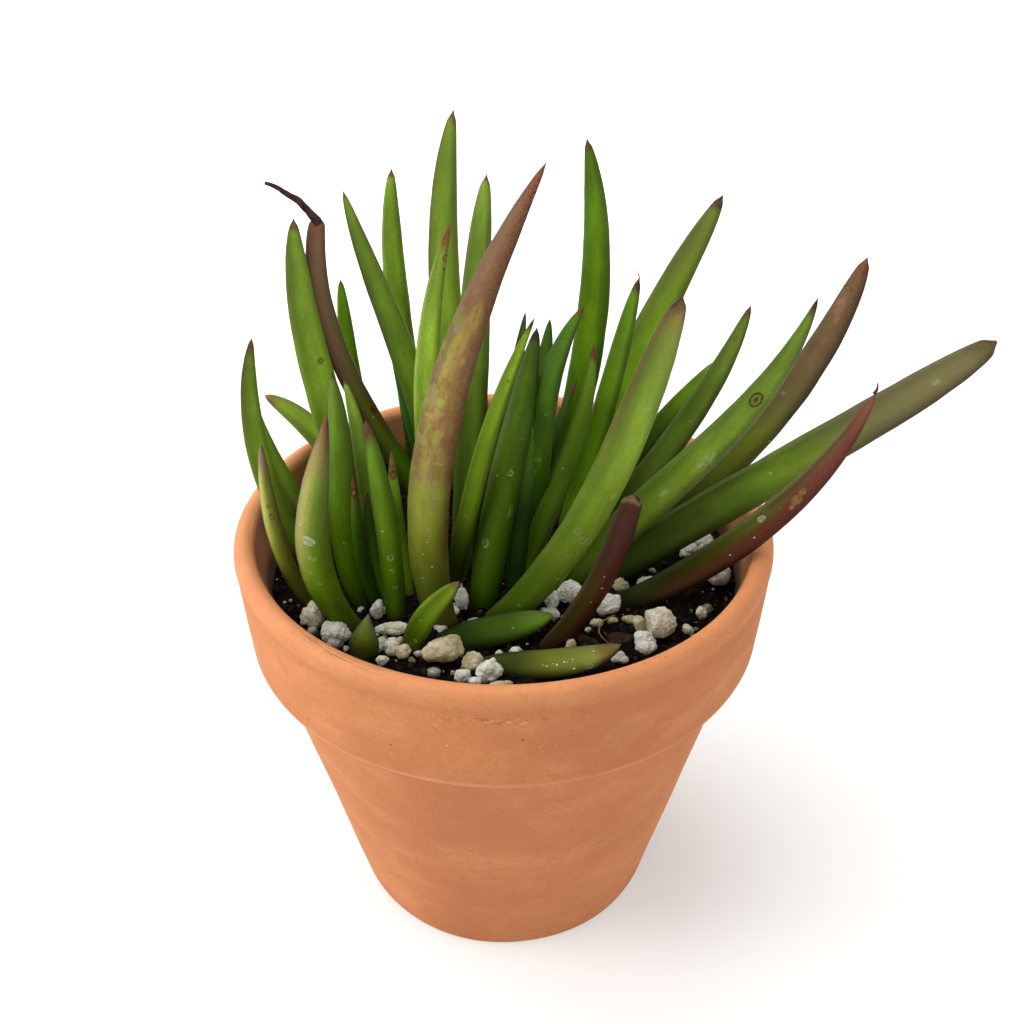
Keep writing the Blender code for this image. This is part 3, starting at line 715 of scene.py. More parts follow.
# x and y are where the leaf leaves the soil. Its lean from upright, towards its heading, changes
# smoothly from base to middle to tip. facing and face_up say where its hollowed face looks, blunt
# rounds the tip, and cut is the share left of a leaf that lost its tip. groove is how deep the face is
# hollowed and keel how far the back stands out, as shares of half the thickness.
LEAVES = [
    Leaf("leaf_left_edge", -41, -1, 180, 23, 6, -15, 51.5, 4.5, -60, blunt=0.4),
    Leaf("leaf_left_edge_back", -39, 6, 175, 21, 20, -2, 36, 4.0, -50, groove=0.6),
    Leaf("leaf_left_front_slim", -38, -15, 180, 26, 6, -3, 38, 4.0, 70),
    Leaf("leaf_left_low", -33, 24, 165, 20, 39, 69, 32.5, 5.8, -60, 40, 0.5),
    Leaf("leaf_left_tan", -29.3, -22, 175, 37, -6, -12, 48, 8.3, 60, blunt=-0.6, keel=0.0),
    Leaf("leaf_left_broad", -28.2, -14, 160, 16, -3, 5, 50, 6.2, 75),
    Leaf("leaf_left_strip", -26, 1, 150, 8, 5, 16, 41, 4.0, -70),
    Leaf("leaf_left_rust_tip_high", -25, -15.5, 160, 22, 2, -3, 30.5, 3.0, 70),
    Leaf("leaf_left_rust_tip_low", -23, -15, 130, 30, 8, -10, 25, 3.0, 80),
    Leaf("leaf_left_round_tip", -21, -19, 115, -7, 12, 36, 41, 4.5, 85, blunt=0.5),
    Leaf("leaf_left_rust_tip_inner", -19, -12, 120, 19, 5, -3, 32, 3.0, 85),
    Leaf("leaf_back_left_tall", -33, 15, 165, 4, 9, -7, 68, 7.0, -60, blunt=0.6),
    Leaf("leaf_back_left_withered", -15.3, 16, 170, 28, 22, -15.5, 71.4, 4.4, -70, blunt=2.6, groove=0.6),
    Leaf("leaf_back_left_narrow", -27, 24, 150, 22, 7, 0, 52, 4.2, -60, blunt=0.8),
    Leaf("leaf_back_left_long", -16.5, 22, 165, -7, 17, 13, 71, 5.7, -70, blunt=0.2),
    Leaf("leaf_back_left_blue", -16, 27, 170, 20, 11, 18, 36, 4.0, -70),
    Leaf("leaf_back_left_upright", -19.5, 30, 130, 3, 7, -11, 72, 5.4, -80, blunt=0.7),
    Leaf("leaf_back_tallest", -10, 28, 180, 1, 2, -12, 84, 6.8, -85, blunt=0.6),
    Leaf("leaf_middle_light", -14, 11, 50, -7, 3, 29, 68, 5.5, -80, groove=0.5),
    Leaf("leaf_middle_slim", -8.5, -4, 70, 18, 8, 23, 79, 6.2, -95, blunt=0.8, groove=0.5),
    Leaf("leaf_back_right_tall", 10, 23, 50, 30, 8, -21, 82, 7.0, -110, blunt=0.4),
    Leaf("leaf_middle_low_left", -1, 5, 75, 11, 26, 38, 50, 4.0, -80),
    Leaf("leaf_middle_low_right", 4, 8, 70, 20, 20, 20, 47, 5.6, -100),
    Leaf("leaf_middle_small", -5, -6, 65, -3, 22, 54, 42, 3.0, -90),
    Leaf("leaf_front_red", -11.5, -22, 30, -14, 16, 36, 90, 7.5, 80, blunt=-0.2, keel=0.0),
    Leaf("leaf_front_leaning", -11, -15, 35, 16, 18, 34, 59.5, 3.8, -100, groove=0.6),
    Leaf("leaf_front_centre", -4, -15, 60, 13, 25, 20, 55, 6.6, 95, blunt=0.3, keel=0.25),
    Leaf("leaf_front_dark", 2, -12, 70, 13, 18, 19, 35, 4.0, -100),
    Leaf("leaf_front_hooked", 3.8, -4, 35, 20, 5, 46, 57, 5.4, -110, blunt=0.3),
    Leaf("leaf_front_bright", 3, -9, 35, 23, 23, -1, 52, 4.5, -115, groove=0.9),
    Leaf("leaf_front_tiny_tip", 6, 1, 45, -1, 19, 37, 39, 3.0, -110),
    Leaf("leaf_front_broad", -0.8, -19, 10, 50, 22, 17.5, 72.6, 8.4, 110, blunt=1.1, keel=0.0),
    Leaf("leaf_front_stub", 9, -27, 10, 42, 23, 9, 35, 5.2, 100, blunt=0.4, cut=0.8),
    Leaf("leaf_front_flat_upper", -9.5, -26, 5, 78, 77, 75, 19.6, 6.0, -90, 50, 0.3),
    Leaf("leaf_front_flat_lower", -0.8, -33.2, -8, 82, 74, 48, 23.6, 5.4, -90, 50, 0.3),
    Leaf("leaf_front_sprout", -17, -29, 5, 10, 34, 45, 18, 4.4, -100, blunt=0.4, groove=0.6),
    Leaf("leaf_front_corner_sprout", -26, -30, 60, 13, 19, 25, 8.6, 5.9, 80, blunt=-1.0),
    Leaf("leaf_right_hair_tip", 14, 14, 35, 23, 16, 15, 55, 4.9, -115, blunt=0.6, groove=0.6),
    Leaf("leaf_right_upper_long", 15.5, 21, 30, 18, 29, 33, 73.5, 7.2, -110, blunt=0.7, groove=0.5),
    Leaf("leaf_right_middle", 19, 8, 25, 45, 38, 17, 59.5, 5.5, -115, blunt=0.3, groove=0.6),
    Leaf("leaf_right_middle_back", 20, 15, 30, 30, 46, 47, 43, 5.0, -110),
    Leaf("leaf_right_long", 14, -7, 10, 36, 43, 12, 73.5, 7.1, -110, 20, blunt=-0.3, groove=0.5),
    Leaf("leaf_right_brown", 25.5, 4, 20, 61, 41, 14, 78, 6.9, -110, 20, 1.0),
    Leaf("leaf_right_farthest", 21, -5, 5, 52, 57, 51, 86, 8.0, -100, 30, 1.6),
    Leaf("leaf_right_red", 25, -14, 0, 61, 42, 16, 63, 6.0, -95, 30, groove=0.7),
]

# Colours of leaf, from deep shade green to sunburnt wine, then of its scars.
FOREST = (0.022, 0.068, 0.002)
GREEN = (0.058, 0.142, 0.003)
FRESH = (0.100, 0.205, 0.003)
LIME = (0.185, 0.315, 0.010)
SUNLIT = (0.130, 0.210, 0.016)
BLUE_GREEN = (0.038, 0.120, 0.016)
OLIVE = (0.130, 0.150, 0.014)
MOSS = (0.062, 0.078, 0.006)
TAN = (0.340, 0.285, 0.085)
ROSE = (0.210, 0.080, 0.048)
RUST = (0.125, 0.042, 0.018)
RED = (0.150, 0.026, 0.016)
MAROON = (0.062, 0.013, 0.009)
WINE = (0.100, 0.030, 0.019)
PLUM = (0.120, 0.042, 0.038)
DUSK = (0.024, 0.008, 0.007)
MAUVE = (0.155, 0.090, 0.058)
CRIMSON = (0.120, 0.009, 0.011)
PALE_GREEN = (0.250, 0.345, 0.060)
GOLD = (0.390, 0.270, 0.055)
CORK = (0.330, 0.215, 0.090)
HUSK = (0.035, 0.018, 0.008)
RIM = (0.075, 0.040, 0.012)
MILK = (0.440, 0.490, 0.310)
# a pale waxy bloom that also serves as painted sheen
BLOOM_AND_SHEEN = (0.480, 0.520, 0.560)

# A wash is a colour that comes in from start to full, as shares of the leaf's length. side is -1 for
# the left half and 1 for the right, edge keeps it to the margins, and patchy breaks it up.
Wash = namedtuple("Wash", "colour start full side edge strength patchy")

# A mark is a scar of some kind. across is in millimetres, right of the leaf's middle line, along a
# share of its length, size the mark's radius in millimetres, and tall how drawn out it is.
Mark = namedtuple("Mark", "kind across along size tall", defaults=(1.0,))

# tone makes the whole skin darker or lighter at the foot, halfway and at the tip, for its pigment and as
# painted light and shade, and speckle says how plainly its freckles show.
Skin = namedtuple("Skin", "body tone washes marks speckle slot", defaults=((), 0.4, "leaf_green"))

# Each kind of mark: its core's colour and strength, and its rim's.
MARK_KINDS = {
    "ring": (PALE_GREEN, 0.15, MILK, 0.65),
    "oval": ((0.25, 0.30, 0.16), 0.85, MILK, 0.9),
    "pale": (MILK, 0.35, PALE_GREEN, 0.25),
    "cork": (CORK, 0.9, HUSK, 0.75),
    "spot": (HUSK, 0.85, HUSK, 0.4),
    "gold": (GOLD, 0.75, GOLD, 0.3),
    "tan": ((0.30, 0.17, 0.085), 0.75, (0.20, 0.09, 0.05), 0.3),
    "burn": ((0.19, 0.17, 0.035), 0.75, HUSK, 0.85),
    "scab": ((0.34, 0.15, 0.05), 0.9, HUSK, 0.6),
    "fleck": ((0.80, 0.82, 0.74), 0.9, MILK, 0.4),
}

ring, oval, pale, cork, spot, gold, tan, burn, scab, fleck = (partial(Mark, kind) for kind in MARK_KINDS)


def all_over(colour, start, full, strength=1.0, patchy=0.0):
    """A wash over both halves of the leaf."""
    return Wash(colour, start, full, 0, False, strength, patchy)


def on_half(colour, start, full, side, strength=1.0, patchy=0.0):
    """A wash that fades out beyond the middle line."""
    return Wash(colour, start, full, side, False, strength, patchy)


def at_edge(colour, start, full, side, strength=1.0, patchy=0.0):
    """A wash along one margin."""
    return Wash(colour, start, full, side, True, strength, patchy)


def tipped(colour, reach, *more):
    """A soft-edged tip of some colour, as a share of the leaf, with a darker point, after other washes."""
    return (*more, all_over(colour, 1 - reach * 1.3, 1 - reach * 0.6),
            all_over(dimmed(colour, 0.45), 1 - reach * 0.35, 1.0, 0.8))


# Each leaf's body colour, tone with its painted light and shade, washes and marks.
SKINS = {
    "leaf_left_edge": Skin(SUNLIT, (1.2, 1.6, 1.0), tipped(RUST, 0.07, at_edge(WINE, 0.45, 0.95, -1, 0.8),
        at_edge(PALE_GREEN, 0.7, 0.2, 1, 0.5))),
    "leaf_left_edge_back": Skin(SUNLIT, (0.8, 1.5, 1.6), tipped(RUST, 0.05,
        at_edge(MILK, 0.9, 0.6, -1, 0.4))),
    "leaf_left_front_slim": Skin(OLIVE, (1.3, 1.65, 1.4), tipped(MAUVE, 0.16,
        on_half(TAN, 0.25, 0.75, -1, 0.75), at_edge(RUST, 0.3, 0.42, 1, 0.5, 0.5),
        all_over(WINE, 0.22, 0.08, 0.6, 0.4)),
        (cork(0.5, 0.66, 0.35), scab(0.8, 0.6, 0.4, 1.8)), slot="leaf_olive"),
    "leaf_left_low": Skin(SUNLIT, (0.9, 2.2, 1.7), tipped(RUST, 0.1, at_edge(ROSE, 0.1, 0.6, 1, 0.7),
        all_over(OLIVE, 0.4, 0.9, 0.5))),
    "leaf_left_tan": Skin(FRESH, (1.35, 1.02, 1.0), (all_over(MOSS, 0.3, 0.02, 0.8),
        all_over(OLIVE, 0.2, 0.5, 0.5), on_half(TAN, 0.18, 0.46, -1, 0.9), all_over(TAN, 0.62, 0.85, 0.3),
        all_over(ROSE, 0.66, 0.88, 0.5), at_edge(ROSE, 0.2, 0.5, -1, 0.5), all_over(RED, 0.82, 0.95),
        all_over(MAROON, 0.92, 1.0, 0.7)),
        (oval(0.6, 0.465, 1.35, 0.65), ring(1.2, 0.39, 0.8, 0.5), pale(0.2, 0.32, 1.1, 0.35),
        pale(1.6, 0.27, 0.9, 0.3), pale(-1.6, 0.36, 0.9, 0.25), cork(-1.9, 0.13, 0.35),
        fleck(-1.4, 0.52, 0.15)), speckle=0.5, slot="leaf_tan"),
    "leaf_left_broad": Skin(FRESH, (0.77, 0.77, 0.9), tipped(MAROON, 0.03, all_over(OLIVE, 0.55, 1.0, 0.4)),
        (pale(0.4, 0.3, 0.4), spot(-0.8, 0.62, 0.15))),
    "leaf_left_strip": Skin(SUNLIT, (0.85, 0.95, 1.7), tipped(MAROON, 0.03)),
    "leaf_left_rust_tip_high": Skin(GREEN, (1.1, 0.8, 1.1), tipped(RUST, 0.22, all_over(FOREST, 0.5, 0.1)),
        (scab(0.2, 0.86, 0.5, 1.6), cork(-0.2, 0.92, 0.3))),
    "leaf_left_rust_tip_low": Skin(GREEN, (1.2, 0.9, 0.9), tipped(RUST, 0.12)),
    "leaf_left_round_tip": Skin(FRESH, (1.2, 1.05, 1.0), tipped(RED, 0.1,
        at_edge(RUST, 0.55, 0.95, -1, 0.7)),
        (ring(0.3, 0.37, 0.55, 1.2), ring(0.1, 0.3, 0.4), ring(0.5, 0.21, 0.5, 0.7),
        fleck(-0.6, 0.5, 0.2))),
    "leaf_left_rust_tip_inner": Skin(FRESH, (1.8, 0.85, 2.2), tipped(RUST, 0.2),
        (scab(0.1, 0.84, 0.6, 1.5), cork(0.0, 0.9, 0.3))),
    "leaf_back_left_tall": Skin(SUNLIT, (1.6, 1.9, 1.4), tipped(RUST, 0.03,
        at_edge(RUST, 0.5, 1.0, -1, 0.4)),
        (cork(1.0, 0.57, 0.6), gold(0.1, 0.88, 0.4), pale(-0.6, 0.72, 0.5))),
    "leaf_back_left_withered": Skin(GREEN, (1.2, 1.25, 1.9), (on_half(MAROON, 0.18, 0.36, 1, 0.9),
        on_half(MAROON, 0.1, 0.4, -1, 0.95), all_over(PLUM, 0.42, 0.58, 0.8),
        at_edge(DUSK, 0.35, 0.55, 1, 0.5, 0.3), on_half(OLIVE, 0.88, 0.58, 1, 0.28),
        on_half(MAUVE, 0.4, 0.6, 1, 0.25, 0.3), at_edge(MAROON, 0.55, 0.8, -1, 0.9),
        all_over(RED, 0.9, 1.0, 0.6)),
        (spot(1.2, 0.4, 0.5, 2.0), fleck(0.5, 0.38, 0.15)), speckle=0.15, slot="leaf_wine"),
    "leaf_back_left_narrow": Skin(FRESH, (0.7, 1.3, 1.6), tipped(RUST, 0.03,
        all_over(BLUE_GREEN, 0.5, 0.1))),
    "leaf_back_left_long": Skin(SUNLIT, (0.9, 1.1, 1.1), tipped(RUST, 0.025,
        at_edge(MAROON, 0.35, 0.85, -1, 0.6), at_edge(OLIVE, 0.6, 1.0, 1, 0.4))),
    "leaf_back_left_blue": Skin(BLUE_GREEN, (1.6, 1.9, 1.4), tipped(MOSS, 0.04)),
    "leaf_back_left_upright": Skin(SUNLIT, (0.7, 1.5, 1.7), tipped(RUST, 0.02,
        all_over(BLUE_GREEN, 0.45, 0.15), at_edge(PALE_GREEN, 0.2, 0.8, -1, 0.35))),
    "leaf_back_tallest": Skin(SUNLIT, (1.4, 1.93, 1.26), tipped(RUST, 0.03,
        at_edge(RUST, 0.25, 0.7, -1, 0.7), all_over(OLIVE, 0.5, 0.95, 0.25))),
    "leaf_middle_light": Skin(SUNLIT, (2.2, 3.33, 1.7), tipped(RED, 0.07,
        on_half(PALE_GREEN, 0.3, 0.75, -1, 0.3)),
        (scab(0.7, 0.905, 0.55, 1.3), gold(0.5, 0.885, 0.5, 1.4), spot(0.9, 0.875, 0.3),
        spot(0.5, 0.925, 0.2), gold(-0.9, 0.5, 0.5, 1.5)), speckle=0.9),
    "leaf_middle_slim": Skin(SUNLIT, (0.75, 0.75, 1.05), tipped(RUST, 0.02,
        at_edge(PALE_GREEN, 0.3, 0.8, 1, 0.4), all_over(BLUE_GREEN, 0.5, 0.1, 0.6))),
    "leaf_back_right_tall": Skin(FRESH, (0.45, 1.15, 0.95), tipped(RUST, 0.03,
        at_edge(FRESH, 0.35, 0.9, -1, 0.6), all_over(FOREST, 0.5, 0.15, 0.8))),
    "leaf_middle_low_left": Skin(GREEN, (0.6, 0.5, 0.5), tipped(MOSS, 0.03, all_over(FOREST, 0.6, 0.2))),
    "leaf_middle_low_right": Skin(GREEN, (0.6, 0.6, 0.7), tipped(MOSS, 0.03, all_over(FOREST, 0.6, 0.2))),
    "leaf_middle_small": Skin(FRESH, (0.4, 0.17, 0.85), tipped(MOSS, 0.04),
        (spot(0.2, 0.55, 0.4),)),
    "leaf_front_red": Skin(OLIVE, (0.85, 2.0, 1.68), (on_half(FRESH, 0.35, 0.0, -1, 0.45),
        all_over(MAUVE, 0.24, 0.42, 0.8, 0.8), all_over(OLIVE, 0.62, 0.34, 0.45, 0.9),
        all_over(WINE, 0.28, 0.44, 0.7, 1.0), at_edge(MAROON, 0.14, 0.26, 1, 0.85, 0.3),
        on_half(WINE, 0.34, 0.5, 1, 0.85, 0.3), all_over(WINE, 0.64, 0.8),
        at_edge(MAROON, 0.62, 0.9, 1, 0.7), on_half(MAUVE, 0.7, 0.82, -1, 0.45),
        all_over(CRIMSON, 0.88, 0.98, 0.55)),
        (gold(0.6, 0.7, 1.0, 2.8), gold(-0.2, 0.655, 1.0, 2.4), gold(-0.9, 0.6, 0.8, 2.0),
        gold(1.0, 0.62, 0.5, 2.0), gold(-1.4, 0.505, 1.1, 0.6), gold(0.4, 0.475, 0.9, 0.6),
        gold(-1.0, 0.435, 1.2, 0.5), gold(1.2, 0.415, 1.0, 0.4), gold(-0.4, 0.375, 0.8, 0.5),
        gold(1.6, 0.34, 0.6, 0.4), scab(0.9, 0.935, 0.5, 1.8), cork(1.0, 0.93, 0.3, 1.6),
        fleck(0.4, 0.24, 0.14), fleck(-0.5, 0.21, 0.12), fleck(1.0, 0.18, 0.16), pale(0.6, 0.27, 0.6, 0.4),
        fleck(-1.0, 0.15, 0.12)), speckle=0.3, slot="leaf_wine"),
    "leaf_front_leaning": Skin(LIME, (0.08, 0.7, 0.9), tipped(MAROON, 0.06, all_over(FRESH, 0.35, 0.1, 0.7),
        at_edge(RUST, 0.5, 0.95, -1, 0.35)),
        (pale(0.3, 0.83, 0.5, 0.5), spot(0.2, 0.79, 0.25), pale(0.0, 0.33, 0.5, 0.4))),
    "leaf_front_centre": Skin(FRESH, (0.95, 0.57, 0.5), tipped(MAROON, 0.045, all_over(GREEN, 0.45, 0.1),
        at_edge(PALE_GREEN, 0.2, 0.6, -1, 0.35)),
        (ring(-1.6, 0.24, 0.55, 1.5), ring(0.2, 0.5, 0.6), pale(1.2, 0.62, 0.4), spot(-0.4, 0.7, 0.18),
        pale(1.9, 0.36, 0.6, 2.5), pale(-2.0, 0.48, 0.3)), speckle=0.35),
    "leaf_front_dark": Skin(FOREST, (1.0, 0.8, 3.0), tipped(MOSS, 0.05)),
    "leaf_front_hooked": Skin(GREEN, (0.6, 1.05, 0.85), tipped(RED, 0.04,
        at_edge(MAROON, 0.7, 0.85, 1, 0.8), all_over(FOREST, 0.5, 0.2, 0.6)),
        (pale(0.3, 0.45, 0.9, 0.6), ring(-0.4, 0.4, 0.6), pale(0.8, 0.62, 0.4))),
    "leaf_front_bright": Skin(FRESH, (0.65, 0.7, 0.85), tipped(RED, 0.07, on_half(LIME, 0.2, 0.5, -1, 0.75),
        all_over(LIME, 0.6, 0.9, 0.7)),
        (fleck(-0.4, 0.5, 0.18),)),
    "leaf_front_tiny_tip": Skin(GREEN, (0.2, 0.13, 0.55), tipped(RUST, 0.1, all_over(FOREST, 0.7, 0.3))),
    # its pale right margin is a painted sheen
    "leaf_front_broad": Skin(SUNLIT, (1.72, 1.62, 1.3), (all_over(GREEN, 0.3, 0.05),
        all_over(OLIVE, 0.45, 0.9, 0.45), at_edge(RUST, 0.45, 0.8, -1, 0.55),
        at_edge(PALE_GREEN, 0.2, 0.7, 1, 0.5), all_over(ROSE, 0.88, 0.97, 0.6),
        all_over(MAROON, 0.93, 0.99)),
        (pale(1.6, 0.47, 0.9, 1.1), pale(2.4, 0.43, 0.6), pale(0.4, 0.72, 1.0, 0.5), ring(-1.6, 0.35, 0.7),
        ring(0.3, 0.33, 0.8), ring(1.9, 0.33, 0.9, 0.8), pale(0.9, 0.29, 0.7), ring(-0.6, 0.27, 0.5),
        ring(0.9, 0.62, 0.35), pale(-0.8, 0.08, 1.3, 0.35), fleck(1.1, 0.2, 0.2), spot(0.6, 0.29, 0.2)),
        speckle=0.35),
    "leaf_front_stub": Skin(RUST, (0.62, 0.75, 0.6), (on_half(MOSS, 0.8, 0.4, -1, 0.9),
        on_half(MAROON, 0.02, 0.3, 1, 0.95), all_over(MAROON, 0.42, 0.62, 0.7),
        at_edge(DUSK, 0.15, 0.45, 1, 0.4), all_over(CORK, 0.965, 0.985, 0.7), all_over(HUSK, 0.99, 1.0)),
        (fleck(0.2, 0.46, 0.35, 0.3), fleck(-0.5, 0.53, 0.12), fleck(-0.3, 0.36, 0.12),
        spot(0.3, 0.7, 0.2)), speckle=0.15, slot="leaf_wine"),
    "leaf_front_flat_upper": Skin(FRESH, (0.4, 0.56, 1.0), (all_over(LIME, 0.6, 0.95, 0.3),
        all_over(GREEN, 0.4, 0.0)),
        (pale(0.5, 0.6, 0.3),), speckle=0.5),
    "leaf_front_flat_lower": Skin(OLIVE, (0.6, 1.4, 1.6), (all_over(GREEN, 0.35, 0.1),
        all_over(PALE_GREEN, 0.45, 0.8, 0.2), at_edge(CORK, 0.7, 0.8, 1, 0.6),
        all_over(CRIMSON, 0.76, 0.86, 0.9), all_over(MAROON, 0.84, 0.93, 0.85)),
        (fleck(0.3, 0.36, 0.12), fleck(0.5, 0.39, 0.16), fleck(0.2, 0.44, 0.11), fleck(0.45, 0.47, 0.2),
        fleck(0.1, 0.53, 0.17), fleck(0.2, 0.555, 0.1), fleck(-0.1, 0.6, 0.13), fleck(1.5, 0.6, 0.15, 1.8),
        fleck(-0.8, 0.78, 0.16), pale(1.6, 0.72, 0.7, 1.8))),
    "leaf_front_sprout": Skin(LIME, (0.55, 1.15, 1.0), tipped(ROSE, 0.09, all_over(FRESH, 0.6, 0.2, 0.7),
        at_edge(RUST, 0.4, 0.75, 1, 0.8)),
        (ring(0.3, 0.14, 0.3), fleck(-0.5, 0.4, 0.15))),
    "leaf_front_corner_sprout": Skin(MOSS, (1.5, 1.5, 1.5), tipped(MAUVE, 0.12,
        all_over(SUNLIT, 0.2, 0.6, 0.6), at_edge(MAUVE, 0.4, 0.9, -1, 0.5))),
    "leaf_right_hair_tip": Skin(FRESH, (2.1, 0.95, 0.95), tipped(MAROON, 0.05, all_over(GREEN, 0.6, 0.2),
        at_edge(PALE_GREEN, 0.3, 0.8, -1, 0.3)),
        (spot(0.3, 0.8, 0.15),)),
    "leaf_right_upper_long": Skin(FRESH, (1.6, 1.25, 1.0), tipped(MAROON, 0.05,
        all_over(OLIVE, 0.3, 0.8, 0.5), on_half(MAUVE, 0.35, 0.75, -1, 0.2),
        all_over(ROSE, 0.62, 0.92, 0.15)), speckle=0.3),
    "leaf_right_middle": Skin(SUNLIT, (0.33, 0.72, 0.8), tipped(RUST, 0.04, all_over(OLIVE, 0.6, 1.0, 0.4),
        at_edge(MAUVE, 0.4, 0.9, 1, 0.4)),
        (cork(-0.1, 0.875, 0.4), pale(0.4, 0.55, 0.3))),
    "leaf_right_middle_back": Skin(FRESH, (0.6, 0.75, 1.35), tipped(RUST, 0.03,
        all_over(FOREST, 0.8, 0.3))),
    # its pale right margin is a painted highlight
    "leaf_right_long": Skin(SUNLIT, (0.98, 0.97, 0.85), tipped(MAROON, 0.05, all_over(GREEN, 0.35, 0.05),
        at_edge(MILK, 0.2, 0.5, 1, 0.35), at_edge(MAROON, 0.8, 0.92, 1, 0.5)),
        (burn(0.1, 0.7, 1.1, 1.4), spot(0.1, 0.7, 0.5, 1.6), pale(1.3, 0.5, 1.1, 3.2),
        pale(0.3, 0.36, 0.7, 2.0), spot(0.8, 0.57, 0.12)), speckle=0.6),
    "leaf_right_brown": Skin(OLIVE, (0.3, 0.9, 1.35), (all_over(GREEN, 0.4, 0.1, 0.8),
        all_over(MAUVE, 0.42, 0.66, 0.7), all_over(WINE, 0.5, 0.78, 0.7, 0.3),
        at_edge(MAROON, 0.35, 0.6, 1, 0.9), on_half(MAROON, 0.7, 0.86, 1, 0.6),
        all_over(CRIMSON, 0.9, 0.98, 0.6)),
        (tan(-0.9, 0.865, 1.3, 2.6), tan(-0.2, 0.83, 0.8, 1.8), scab(-1.1, 0.915, 0.8, 0.45),
        spot(3.1, 0.7, 0.5, 1.4), spot(3.2, 0.56, 0.5, 1.2), scab(3.0, 0.48, 0.4, 1.0),
        pale(-1.2, 0.6, 0.5)), speckle=0.3, slot="leaf_wine"),
    "leaf_right_farthest": Skin(SUNLIT, (0.5, 0.97, 1.05), (all_over(GREEN, 0.25, 0.0),
        at_edge(PALE_GREEN, 0.2, 0.5, -1, 0.45), all_over(MOSS, 0.5, 0.72, 0.35),
        all_over(MAUVE, 0.48, 0.72, 0.7), at_edge(WINE, 0.5, 0.8, 1, 0.85), all_over(MAROON, 0.93, 1.0)),
        (pale(-0.6, 0.45, 0.5), pale(0.2, 0.85, 0.7, 1.6))),
    "leaf_right_red": Skin(MOSS, (0.58, 1.0, 1.15), (on_half(OLIVE, 0.2, 0.5, -1, 0.7),
        on_half(CRIMSON, -0.08, 0.06, 1), on_half(CRIMSON, 0.06, 0.24, 1), all_over(WINE, 0.45, 0.64, 0.8),
        all_over(ROSE, 0.45, 0.8, 0.2), at_edge(PALE_GREEN, 0.25, 0.5, -1, 0.35),
        on_half(CRIMSON, 0.36, 0.56, 1, 0.7), all_over(RED, 0.84, 0.95), all_over(ROSE, 0.86, 0.96, 0.5)),
        (oval(-1.1, 0.495, 0.62, 1.3), cork(-0.4, 0.56, 0.25), gold(0.5, 0.61, 0.8, 1.3),
        tan(0.9, 0.585, 0.5, 1.4), gold(0.2, 0.64, 0.5, 1.6), fleck(0.9, 0.44, 0.12, 2.2),
        fleck(1.0, 0.35, 0.11, 2.0)), speckle=0.3, slot="leaf_wine"),
}


def kept_on(geometry, kind, value):
    """Holds a value on the points as they are now, for use after later steps have joined them."""
    capture = geometry.tree.nodes.new("GeometryNodeCaptureAttribute")
    capture.capture_items.new(kind, "kept")
    geometry.tree.links.new(geometry.socket, capture.inputs[0])
    geometry.tree.links.new(value.socket, capture.inputs[1])
    return Wire(geometry.tree, capture.outputs[0]), Wire(geometry.tree, capture.outputs[1])


